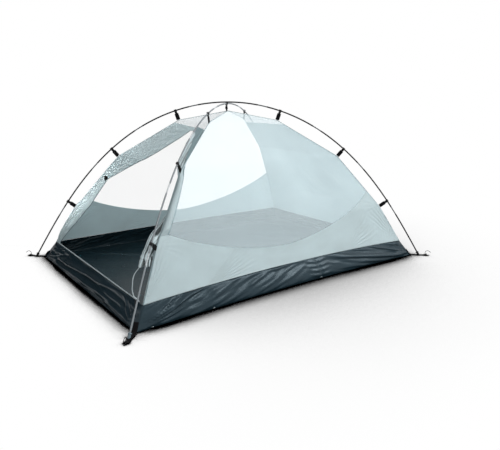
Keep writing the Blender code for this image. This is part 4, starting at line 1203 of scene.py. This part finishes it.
def make_zip():
    """The half zip on the sill: a woven tape with its row of coil teeth."""
    def place(along, up):
        return Vector((mix(ZIP_LEFT, ZIP_RIGHT, along), SILL_Y, SILL_HEIGHT + ZIP_TALL * 0.85 * up))

    size = (ZIP_RIGHT - ZIP_LEFT, ZIP_TALL)
    tape = one_cloth("sill_zip_tape", "zip_grey", 160, 4, place, size, thickness=ZIP_TAPE)
    settle(tape, node="sill_zip")
    form = bmesh.new()
    tooth_height = SILL_HEIGHT + ZIP_TALL - TOOTH_SIZE[2] / 2
    for index in range(int((ZIP_RIGHT - ZIP_LEFT) / TOOTH_PITCH)):
        centre = Vector((ZIP_LEFT + (index + 0.5) * TOOTH_PITCH, SILL_Y, tooth_height))
        matrix = Matrix.Translation(centre) @ Matrix.Diagonal((*TOOTH_SIZE, 1))
        bmesh.ops.create_cube(form, size=1, matrix=matrix)
    settle(bevelled(add_piece("sill_zip_teeth", form, FINISH["zip_grey"]), TOOTH_ROUNDING, 1))


def make_zip_tail():
    """The zip's loose half: a tape with coil teeth that loops from the gathered door down to the sill."""
    end = Vector((ZIP_TAIL_END, SILL_Y, SILL_HEIGHT + ZIP_TALL + GAP))
    hem, _, _ = gather_axis(GATHER[0][0])
    top = hem - Vector((*ZIP_TAIL_TOP, GAP))
    route = [top] + [end + Vector((-inward, -outward, up)) for inward, outward, up in ZIP_TAIL_ROUTE] + [end]
    points = smooth_route(route, 20)
    last = len(points) - 1
    ways = [way_along(points, index) for index in range(last + 1)]
    sides = [way.cross(DOOR_OUT).normalized() * ZIP_TAIL_WIDTH for way in ways]

    def place(along, across):
        index = round(along * last)
        return points[index] + sides[index] * (across - 0.5)

    tape = one_cloth("zip_tail_tape", "zip_grey", last, 6, place, (0.26, ZIP_TAIL_WIDTH), thickness=ZIP_TAPE)
    settle(tape, node="zip_tail")
    form = bmesh.new()
    coil = []
    for index, (point, side) in enumerate(zip(points, sides)):
        coil.append((point + side * ZIP_COIL_PLACE, ZIP_COIL_RADIUS * (1 if index % 2 else ZIP_COIL_WAIST)))
    sweep(form, coil, 8)
    settle(add_piece("zip_tail_coil", form, FINISH["zip_grey"]))


# Poles

STATION_PITCH = 0.008
TUBE_LIP = 0.0004
FERRULE_IN_TUBE = (0.002, 0.004)
TIP_IN_TUBE = 0.002


def tube_ends(stations):
    """The same tube with a small rounded lip at each end."""
    (first, radius), (last, _) = stations[0], stations[-1]
    inward = (stations[1][0] - first).normalized() * TUBE_LIP
    outward = (stations[-2][0] - last).normalized() * TUBE_LIP
    return (
        [(first, radius - TUBE_LIP), (first + inward, radius)] + stations[1:-1]
        + [(last + outward, radius), (last, radius - TUBE_LIP)]
    )


def add_tube(form, arch, start, end, radius, finish_index=0):
    """A tube along a pole's arch between two runs from the peak."""
    steps = max(1, math.ceil(abs(end - start) / STATION_PITCH))
    stations = [(arch.point(mix(start, end, index / steps)), radius) for index in range(steps + 1)]
    sweep(form, tube_ends(stations), 16, finish_index)


def add_section(form, arch, number):
    """One tube of a pole: the middle one is plain, the others have a ferrule that enters the next one up."""
    pitch = 2 * arch.half_run / SECTIONS
    middle = (SECTIONS + 1) // 2
    step = abs(number - middle)
    if step == 0:
        add_tube(form, arch, -pitch / 2, pitch / 2, POLE_RADIUS)
        return
    sign = 1 if number > middle else -1
    is_last = step == middle - 1
    start = (step - 0.5) * pitch
    end = start + pitch
    tube_end = end - TIP_LENGTH if is_last else end
    ferrule_end = start + FERRULE_SHOWN
    low_in, high_in = FERRULE_IN_TUBE
    add_tube(form, arch, sign * (start - low_in), sign * (ferrule_end + high_in), FERRULE_RADIUS, 1)
    add_tube(form, arch, sign * ferrule_end, sign * tube_end, POLE_RADIUS)
    if is_last:
        add_tube(form, arch, sign * (tube_end - TIP_IN_TUBE), sign * end, TIP_RADIUS)


def make_poles():
    """Two poles of nine anodised tubes, the upper one painted dark as shade."""
    poles = (
        ("upper_pole", UPPER_ARCH, "pole_painted_shade", "ferrule_painted_shade"),
        ("lower_pole", LOWER_ARCH, "pole_grey", "ferrule"),
    )
    for name, arch, tube_finish, ferrule_finish in poles:
        for number in range(1, SECTIONS + 1):
            form = bmesh.new()
            add_section(form, arch, number)
            piece = add_piece(f"{name}_tube_{number}", form, FINISH[tube_finish])
            piece.data.materials.append(FINISH[ferrule_finish])
            settle(piece, node=f"{name}_section_{number}")


# Clips

CLIP_ROUNDING = 0.0006
CLIP_WEB_WIDTH = 0.025
CLIP_WEB_THICKNESS = 0.0027
CLIP_WEB_OVER_RIDGE = 0.003
CLIP_WEB_TOP = 0.019
CLIP_RIB = 0.00018
CROSS_WEB_THICKNESS = 0.0024
CROSS_WEB_OVER_RIDGE = 0.014
CROSS_WEB_TOP = 0.017
CROSS_WEB_NARROWS = (0.75, 0.55)
CROSS_WEB_OFF = 0.0032


def make_clip(name, arch, run, reach):
    """A moulded hook over the pole, on a doubled webbing strap stitched to the ridge."""
    refine_node(name, "black_plastic", name, CLIP_ROUNDING)
    centre, outward, along = clip_frame(arch, run)
    hem = centre - outward * (reach - CLIP_WEB_OVER_RIDGE)
    top = centre - outward * CLIP_WEB_TOP
    face = along.cross(outward)

    def place(across, up):
        ribs = CLIP_RIB * math.sin(math.tau * across * 7)
        return mix(hem, top, up) + along * (across - 0.5) * CLIP_WEB_WIDTH + face * ribs

    size, thickness = (CLIP_WEB_WIDTH, 0.05), CLIP_WEB_THICKNESS
    piece = one_cloth(f"{name}_webbing", "black_webbing", 42, 24, place, size, thickness=thickness)
    settle(piece, name)


def make_cross_webbing(name, arch, run, reach):
    """A second strap across the first, which spreads the peak clip's pull over both pairs of walls."""
    centre, outward, along = clip_frame(arch, run)
    across_pole = along.cross(outward)
    hem = centre - outward * (reach - CROSS_WEB_OVER_RIDGE)
    top = centre - outward * CROSS_WEB_TOP

    def place(across, up):
        width = CLIP_WEB_WIDTH * mix(*CROSS_WEB_NARROWS, up)
        return mix(hem, top, up) + across_pole * (across - 0.5) * width + along * CROSS_WEB_OFF

    size, thickness = (CLIP_WEB_WIDTH, 0.03), CROSS_WEB_THICKNESS
    piece = one_cloth(f"{name}_cross_webbing", "black_webbing", 42, 24, place, size, thickness=thickness)
    settle(piece, name)


def corner_arch(corner):
    """The arch that ends at a corner."""
    sign_x, sign_y = CORNERS[corner]
    return UPPER_ARCH if sign_x == sign_y else LOWER_ARCH


def make_clips():
    for corner, (sign_x, _) in CORNERS.items():
        for number, run in enumerate(CLIP_RUNS, 1):
            make_clip(f"{corner}_clip_{number}", corner_arch(corner), sign_x * run, CLIP_REACH)
    make_clip("peak_clip", LOWER_ARCH, PEAK_CLIP_RUN, PEAK_CLIP_REACH)
    make_cross_webbing("peak_clip", LOWER_ARCH, PEAK_CLIP_RUN, PEAK_CLIP_REACH)


# Corner straps and hooks

WEB_WIDTH = 0.025
WEB_THICKNESS = 0.0022
WEB_TOP = 0.040
WEB_LOW = 0.008
WEB_RIB = 0.00022
WEB_LENGTHS = 120
WEB_BAR_RADIUS = 0.0028
WEB_BAR_OUT = 0.060
WEB_BAR_HEIGHT = 0.0086
WEB_SLOT = (0.0135, 0.008)
WEB_OFF_TUB = 0.0011
WEB_TURN = math.radians(10)
HOOK_WIRE = 0.0016
HOOK_RADIUS = 0.0165
HOOK_TILT = math.radians(55)
HOOK_START_DEGREES = -45
HOOK_END_DEGREES = -292
HOOK_STEPS = 60
HOOK_TAIL = Vector((1.3, 0, 0.25))
SOCKET_ROUNDING = 0.0008


def web_path():
    """Centre line of a corner strap as (distance out of the tub's corner, height), ending at the hook bar."""
    edge = Vector((-TUB_LEAN, TUB_HEIGHT)).normalized()
    off_tub = Vector((edge.y, -edge.x)) * (WEB_THICKNESS / 2 + WEB_OFF_TUB)
    flat = WEB_THICKNESS / 2
    bar = FOOT_REACH + WEB_BAR_OUT
    return [
        edge * WEB_TOP / edge.y + off_tub,
        edge * WEB_LOW / edge.y + off_tub,
        Vector((0.007, 0.0027)),
        Vector((0.016, flat)),
        Vector((FOOT_REACH + 0.018, flat)),
        Vector((bar - 0.022, mix(flat, WEB_BAR_HEIGHT, 0.15))),
        Vector((bar, WEB_BAR_HEIGHT)),
    ]


def strap_frame(corner):
    """A frame on the ground near the tub's corner: x out along the strap, y up."""
    sign_x, sign_y = CORNERS[corner]
    out = Vector((sign_x * WIDTH_SHARE, sign_y * LENGTH_SHARE, 0))
    turned = Matrix.Rotation(-sign_x * sign_y * WEB_TURN, 3, "Z") @ out
    pivot = FOOT_REACH / 2
    origin = out * (HALF_DIAGONAL + pivot) - turned * pivot
    turn = Matrix((turned, UP, turned.cross(UP))).transposed().to_4x4()
    return Matrix.Translation(origin) @ turn


def make_strap(corner):
    """Ribbed webbing from the tub's corner, under the pole's foot, to the bar that holds the wire hook."""
    matrix = strap_frame(corner)
    inside = matrix.inverted()
    path = web_path()
    line = smooth_route([point.to_3d() for point in path], 18)
    line = spread_points([(point.x, point.y) for point in line], WEB_LENGTHS + 1)
    slot_x = path[-1].x - 0.65 * WEB_BAR_RADIUS - WEB_SLOT[0] / 2

    def place(along, across):
        x, y = line[round(along * WEB_LENGTHS)]
        ribs = WEB_RIB * math.sin(math.tau * across * 10)
        return matrix @ Vector((x, max(y, WEB_THICKNESS / 2) + ribs, (across - 0.5) * WEB_WIDTH))

    def is_in_slot(face):
        middle = inside @ face.calc_center_median()
        return abs(middle.x - slot_x) < WEB_SLOT[0] / 2 and abs(middle.z) < WEB_SLOT[1] / 2

    form = bmesh.new()
    add_cloth(form, WEB_LENGTHS, 50, place, (0.16, WEB_WIDTH))
    bmesh.ops.delete(form, geom=[face for face in form.faces if is_in_slot(face)], context="FACES")
    piece = sheet_piece(f"{corner}_strap_webbing", form, "black_webbing", WEB_THICKNESS * 0.85)
    settle(piece, node=f"{corner}_strap")
    shifts = (-0.5, -0.25, 0, 0.25, 0.5)
    bar = [(matrix @ Vector((*path[-1], shift * WEB_WIDTH)), WEB_BAR_RADIUS) for shift in shifts]
    form = bmesh.new()
    sweep(form, tube_ends(bar), 20)
    settle(add_piece(f"{corner}_strap_bar", form, FINISH["black_plastic"]))


def make_hook(corner):
    """An open ring of plated wire through the strap's slot."""
    strap = strap_frame(corner)
    out = strap.to_3x3() @ WAY_X
    turn = Matrix((out, UP.cross(out), UP)).transposed().to_4x4()
    matrix = Matrix.Translation(strap @ web_path()[-1].to_3d()) @ turn
    offset = HOOK_RADIUS - HOOK_WIRE - GAP - WEB_BAR_RADIUS
    middle = Vector((offset * math.cos(HOOK_TILT), 0, offset * math.sin(HOOK_TILT)))
    stations = []
    for index in range(HOOK_STEPS + 1):
        angle = math.radians(mix(HOOK_START_DEGREES, HOOK_END_DEGREES, index / HOOK_STEPS))
        place = middle + Vector((math.cos(angle), 0, math.sin(angle))) * HOOK_RADIUS
        stations.append((matrix @ place, HOOK_WIRE))
    stations.append((matrix @ (middle + HOOK_TAIL * HOOK_RADIUS), HOOK_WIRE))
    form = bmesh.new()
    sweep(form, tube_ends(stations), 14)
    piece = add_piece(f"{corner}_wire_hook", form, FINISH["steel_wire"])
    settle(piece, f"{corner}_hook", f"{corner}_hook")


def make_corner_hardware():
    for corner in CORNERS:
        make_strap(corner)
        make_hook(corner)
        finish = "black_plastic" if corner_arch(corner) is UPPER_ARCH else "grey_plastic"
        refine_node(f"{corner}_socket", finish, "tent", SOCKET_ROUNDING)
    for name, rounding in (("zip_slider", 0.0006), ("zip_pull", 0.0003), ("door_toggle", 0.0004)):
        refine_node(name, "black_plastic", name, rounding)


# Trims on the walls

# The tab's corners as (along, up the slope) from the ridge: lower left, lower right, upper right, upper left
TAB_CORNERS = ((0.040, 0.000), (0.106, -0.020), (0.120, 0.002), (0.072, 0.016))
TAB_RISE = 0.004
TAB_OUT = 0.0022
TAB_THICKNESS = 0.0014
TAB_RIB = 0.0003
# The doubled cloth at the door's head: its left side as (height, x), up the ridge to the roof seam
PATCH_LEFT = ((0.747, 0.372), (0.761, 0.346), (0.807, 0.265), (0.878, 0.147), (0.908, 0.107))
PATCH_WRINKLE = 0.0016
PATCH_OFF = 0.0035
PATCH_BULGE = 0.003
PATCH_SLOPE = 0.010
PATCH_INSET = 0.001
PATCH_LEAST = 0.002
HEM_RADIUS = 0.0020
HEM_OUT = 0.001
TAPE_SEAM_RISE = 0.033
# Points of the head's edge that the tape's seam leaves out at each end, and over which it comes down to it
TAPE_SEAM_SKIPS = 4
TAPE_SEAM_DROPS = 12
TAPE_SEAM_OUT = 0.0008
TAPE_SEAM_RADIUS = 0.0024
BINDING_RADIUS = 0.0016
BINDING_STEPS = 24
STRIP_HEM_RADIUS = 0.0026
STRIP_HEM_OUT = 0.002
STRIP_HEM_BELOW = 0.004
STRIP_HEM_SHORT = 0.03
# Stake loops: places along the side, half length, reach out of the tub, height and cord radius
STAKE_LOOPS = (-0.958, -0.596, 0.198)
STAKE_LOOP_HALF = 0.006
STAKE_LOOP_REACH = 0.009
STAKE_LOOP_HEIGHT = 0.004
STAKE_CORD_RADIUS = 0.0011


def make_corner_tab():
    """The dark webbing that guards the opening's upper left corner."""
    middle = DOOR_TAB_HEIGHT + TAB_RISE
    low, high = door_point(0, middle - 0.002), door_point(0, middle + 0.002)
    up_slope = (high - low).normalized()
    out = WAY_X.cross(up_slope).normalized()
    origin = Vector((-WIDTH_SHARE * ridge_reach(middle), low.y, middle)) + out * TAB_OUT
    left_low, right_low, right_high, left_high = (Vector(corner) for corner in TAB_CORNERS)

    def place(across, up):
        x, y = mix(mix(left_low, right_low, across), mix(left_high, right_high, across), up)
        return origin + WAY_X * x + up_slope * y + out * TAB_RIB * math.sin(math.tau * up * 8)

    size = (0.08, 0.02)
    piece = one_cloth("door_corner_webbing", "black_webbing", 24, 40, place, size, thickness=TAB_THICKNESS)
    settle(piece, node="door_corner_tab")


def trim_tube(name, places, radius, finish):
    """A thin corded edge along a seam, stitched down all its length."""
    form = bmesh.new()
    sweep(form, [(point, radius) for point in places], 8)
    layer = form.loops.layers.uv.new("cloth")
    for face in form.faces:
        for loop in face.loops:
            loop[layer].uv = (loop.vert.co.x + loop.vert.co.y, loop.vert.co.z)
    settle(add_piece(name, form, FINISH[finish]))


def make_door_trims():
    """The opening's corded edge, and the seam of its zip tape, which runs above it to meet it at the head."""
    edge = spread_points(LEFT_EDGE[1:] + HEAD_EDGE[1:], 220)
    places = [door_point(x, height) + DOOR_OUT * HEM_OUT for x, height in edge]
    # The cord's grey is partly the zip coil and partly a painted shadow gap at the edge
    trim_tube("door_edge_cord", places, HEM_RADIUS, "door_hem")
    head = spread_points(HEAD_EDGE, 120)
    last = len(head) - TAPE_SEAM_SKIPS
    seam = []
    for index in range(TAPE_SEAM_SKIPS, last):
        (x, height), before, after = head[index], head[index - 1], head[index + 1]
        run = Vector((after[0] - before[0], after[1] - before[1])).normalized()
        rise = TAPE_SEAM_RISE * smooth_step(0, TAPE_SEAM_DROPS, last - index)
        seam.append(door_point(x - run.y * rise, height + run.x * rise) + DOOR_OUT * TAPE_SEAM_OUT)
    # The seam's pale tone is a painted highlight along the tape's edge
    trim_tube("door_tape_seam", seam, TAPE_SEAM_RADIUS, "seam_tape")


def make_head_patch():
    """The doubled cloth at the opening's head, which bulges off the wall, painted darker as shade."""
    def place(across, up):
        height = mix(PATCH_LEFT[0][0], PATCH_LEFT[-1][0], up)
        right_x = WIDTH_SHARE * ridge_reach(height) - PATCH_INSET
        x = mix(min(read_table(PATCH_LEFT, height), right_x - PATCH_LEAST), right_x, across)
        bulge = PATCH_OFF + PATCH_BULGE * math.sin(math.pi * across)
        return door_point(x, height - PATCH_SLOPE * across * up) + DOOR_OUT * bulge

    def ripple(across, up, point):
        return PATCH_WRINKLE * noise.noise((point.x * 60, point.z * 18, 4))

    piece = one_cloth("door_head_patch", "doubled_painted_shade_nylon", 20, 50, place, (0.1, 0.24), ripple)
    settle(piece)


def make_ridge_bindings():
    """A taped seam up each ridge from the tub to the peak, which closes the walls together, painted dark as
    the shadow line beside the ridge.
    """
    for corner, (sign_x, sign_y) in CORNERS.items():
        out = Vector((sign_x * WIDTH_SHARE, sign_y * LENGTH_SHARE, 0))
        places = []
        for low, high in zip(RIDGE, RIDGE[1:]):
            for index in range(BINDING_STEPS):
                share = index / BINDING_STEPS
                places.append(out * mix(low[1], high[1], share) + UP * mix(low[0], high[0], share))
        places.append(UP * CANOPY_PEAK)
        trim_tube(f"{corner}_ridge_tape", places, BINDING_RADIUS, "doubled_painted_shade_nylon")


def make_strip_hems():
    """The rolled hem on the inner edge of each long side's edge strip, painted dark as the shade on the
    strip's rolled edge.
    """
    for side in LONG_SIDES:
        out = Vector((SIDE_SIGN[side], 0, 0.3)).normalized() * STRIP_HEM_OUT
        low, high = STRIP_FOOT - STRIP_HEM_BELOW, STRIP_TOP - STRIP_HEM_SHORT
        heights = [mix(low, high, index / 60) for index in range(61)]
        places = [wall_point(side, strip_inner(height), height) + out for height in heights]
        trim_tube(f"{side}_strip_hem", places, STRIP_HEM_RADIUS, "doubled_painted_shade_nylon")


def make_stake_loops():
    """Small cord loops stitched to the foot of each long side."""
    for side in LONG_SIDES:
        for number, along in enumerate(STAKE_LOOPS, 1):
            places = []
            for index in range(13):
                angle = math.pi * index / 12
                reach = floor_edge_x(along / HALF_LENGTH) - 0.002 + STAKE_LOOP_REACH * math.sin(angle)
                y = along + STAKE_LOOP_HALF * math.cos(angle)
                height = STAKE_LOOP_HEIGHT + STAKE_LOOP_HEIGHT * math.sin(angle)
                places.append(Vector((SIDE_SIGN[side] * reach, y, height)))
            trim_tube(f"{side}_stake_loop_{number}", places, STAKE_CORD_RADIUS, "zip_grey")


# Stage and light

CONTACT_REACH = 0.17
CONTACT_LOW = 0.79
CONTACT_HIGH = 0.94
SHADE_REACH = 1.4
SHADE_WAY = (-0.70, -0.35, 0.62)
SHADE_LOW = 0.50
SHADE_HIGH = 1.0
SHADE_DARK = 0.02
SHADE_ACROSS = (0.6, 0.8, 0.0)
SHADE_FROM = -0.8
SHADE_TO = 0.6
FLOOR_ALBEDO = 0.30
FLOOR_HALF = 400
FLOOR_DROP = 0.0005
FLAG_HALF = 1.7
FLAG_PLACE = Vector((-3.0, -2.0, 1.6))
SKY_BRIGHT = 1.05
SKY_DIM = 0.08
SKY_BRIGHT_WAY = (0.62, 0.74, 0.25)
SKY_HORIZON = 0.35
SKY_TOP = 1.15
# Where the dome is dimmest and brightest along its bright way, and from its horizon up
SKY_ACROSS = (-0.85, 0.3)
SKY_RISE = (0.0, 0.5)
# Each lamp's name, place, aim, size in metres, watts, spread in degrees and colour
LAMPS = (
    ("overhead", (2.7, 3.0, 3.75), (0.4, 0.0, 0.2), 1.8, 106, 180, "#ffffff"),
    ("right_fill", (5.0, 0.8, 1.6), (0, 0, 0.4), 3.0, 80, 180, "#ffffff"),
    ("front_fill", (-1.0, -1.9, 0.5), (-0.61, -0.86, 0.46), 0.3, 0.75, 24, "#ffffff"),
    ("band_fill", (-0.5, -2.4, 2.4), (-0.2, -0.5, 0.78), 0.6, 0.6, 26, "#ffffff"),
    ("left_glow", (-1.35, 0.85, 0.50), (-0.65, 0.60, 0.25), 0.6, 19, 180, "#fff0ec"),
    ("back_glow", (0.1, 2.9, 0.9), (0.0, 1.0, 0.4), 1.4, 66, 180, "#fff0ec"),
)


def shows_background(material):
    """1 for the rays that the camera, gloss and clear things see by."""
    path = add_node(material, "LightPath")
    either = path.outputs["Is Camera Ray"]
    for name in ("Is Glossy Ray", "Is Transmission Ray"):
        either = add_node(material, "Math", {"operation": "MAXIMUM"}, {0: either, 1: path.outputs[name]})
    return either


def floor_shade(material):
    """The tent's shadow: dark where it touches the floor, and a wide soft shade on its right."""
    fine = {"samples": 16}
    near = add_node(material, "AmbientOcclusion", fine, {"Distance": CONTACT_REACH}).outputs["AO"]
    contact = add_node(material, "MapRange", SMOOTH, ranged(near, CONTACT_LOW, CONTACT_HIGH, 0.0, 1.0))
    wide = add_node(material, "AmbientOcclusion", fine, {"Distance": SHADE_REACH, "Normal": SHADE_WAY})
    shade = add_node(material, "MapRange", SMOOTH, ranged(
        wide.outputs["AO"], SHADE_LOW, SHADE_HIGH, SHADE_DARK, 1.0))
    place = add_node(material, "TexCoord").outputs["Object"]
    across = add_node(material, "VectorMath", {"operation": "DOT_PRODUCT"}, {0: place, 1: SHADE_ACROSS})
    inside = add_node(material, "MapRange", SMOOTH, ranged(
        across.outputs["Value"], SHADE_FROM, SHADE_TO, 0.0, 1.0))
    cast = add_node(material, "Mix", None, {"Factor": inside, "A": 1.0, "B": shade})
    return add_node(material, "Math", {"operation": "MULTIPLY"}, {0: contact, 1: cast})


def pale_studio_floor():
    """Matt white paper: it throws light back up, and the camera sees it plain white outside the shadow."""
    material = new_material("pale_studio_floor")
    body = add_node(material, "BsdfDiffuse", None, {"Color": (FLOOR_ALBEDO, FLOOR_ALBEDO, FLOOR_ALBEDO, 1.0)})
    white = add_node(material, "Emission", None, {"Color": (1, 1, 1, 1), "Strength": floor_shade(material)})
    both = add_node(material, "MixShader", None, {"Fac": shows_background(material), 1: body, 2: white})
    add_node(material, "OutputMaterial", None, {"Surface": both})
    return material


def black_card():
    """Matt black card: nothing shines off it."""
    material = new_material("black_flag_card")
    body = add_node(material, "BsdfDiffuse", None, {"Color": linear("#101010")})
    add_node(material, "OutputMaterial", None, {"Surface": body})
    return material


def stage_square(name, material, half_size, matrix):
    """A flat square of the studio, which is no part of the object."""
    form = bmesh.new()
    bmesh.ops.create_grid(form, x_segments=1, y_segments=1, size=half_size, matrix=matrix)
    square = add_piece(name, form, material)
    return square


def make_stage():
    """The floor under the tent."""
    stage_square("studio_floor", pale_studio_floor(), FLOOR_HALF, Matrix.Translation((0, 0, -FLOOR_DROP)))


def make_flag_card():
    """A black studio card on the door's left, which only keeps gloss off the tub's door side."""
    turn = (-FLAG_PLACE).to_track_quat("Z", "Y").to_matrix().to_4x4()
    card = stage_square("flag_card", black_card(), FLAG_HALF, Matrix.Translation(FLAG_PLACE) @ turn)
    for ray in ("camera", "diffuse", "transmission", "shadow"):
        setattr(card, f"visible_{ray}", False)


def make_sky():
    """An even studio dome, dimmer on the door's side, and plain white where the camera sees it."""
    world = bpy.data.worlds.new("studio")
    bpy.context.scene.world = world
    world.use_nodes = True
    world.node_tree.nodes.clear()
    way = add_node(world, "TexCoord").outputs["Generated"]
    side = add_node(world, "VectorMath", {"operation": "DOT_PRODUCT"}, {0: way, 1: SKY_BRIGHT_WAY})
    rise = add_node(world, "SeparateXYZ", None, {"Vector": way})
    lit = add_node(world, "MapRange", SMOOTH, ranged(side.outputs["Value"], *SKY_ACROSS, SKY_DIM, SKY_BRIGHT))
    high = add_node(world, "MapRange", SMOOTH, ranged(rise.outputs["Z"], *SKY_RISE, SKY_HORIZON, SKY_TOP))
    lit = add_node(world, "Math", {"operation": "MULTIPLY"}, {0: lit, 1: high})
    level = add_node(world, "Mix", None, {"Factor": shows_background(world), "A": lit, "B": 1.0})
    sky = add_node(world, "Background", None, {"Color": (1, 1, 1, 1), "Strength": level})
    add_node(world, "OutputWorld", None, {"Surface": sky})


def make_lamps():
    """Soft square lamps, of which only the one overhead shows in gloss."""
    for name, place, aim, size, watts, spread, colour in LAMPS:
        lamp = bpy.data.lights.new(name, "AREA")
        lamp.size = size
        lamp.energy = watts
        lamp.spread = math.radians(spread)
        lamp.color = linear(colour)[:3]
        holder = bpy.data.objects.new(name, lamp)
        holder.location = place
        holder.rotation_euler = (Vector(aim) - Vector(place)).to_track_quat("-Z", "Y").to_euler()
        holder.visible_camera = False
        holder.visible_glossy = name == "overhead"
        bpy.context.scene.collection.objects.link(holder)


def finish_cad_nodes():
    """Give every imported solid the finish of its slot, for those that no piece replaces."""
    for row in frame["record"]["subparts"]:
        node = frame["nodes"][row["node"]]
        node.data.materials.clear()
        node.data.materials.append(FINISH[row["material_slot"]])
        for face in node.data.polygons:
            face.material_index = 0


make_camera()
make_flag_card()
finish_cad_nodes()
make_tub()
for wall in LONG_SIDES:
    make_long_nylon(wall)
    make_long_mesh(wall)
make_far_wall()
make_door_wall()
make_peak_mesh("back", "far_wall")
make_peak_mesh("front", "door_wall")
make_ridge_bindings()
make_strip_hems()
make_door_trims()
make_head_patch()
make_corner_tab()
make_gathered_door()
make_door_tie()
make_zip()
make_zip_tail()
make_poles()
make_clips()
make_corner_hardware()
make_stake_loops()
make_stage()
make_sky()
make_lamps()
bpy.context.scene.view_settings.view_transform = "Standard"
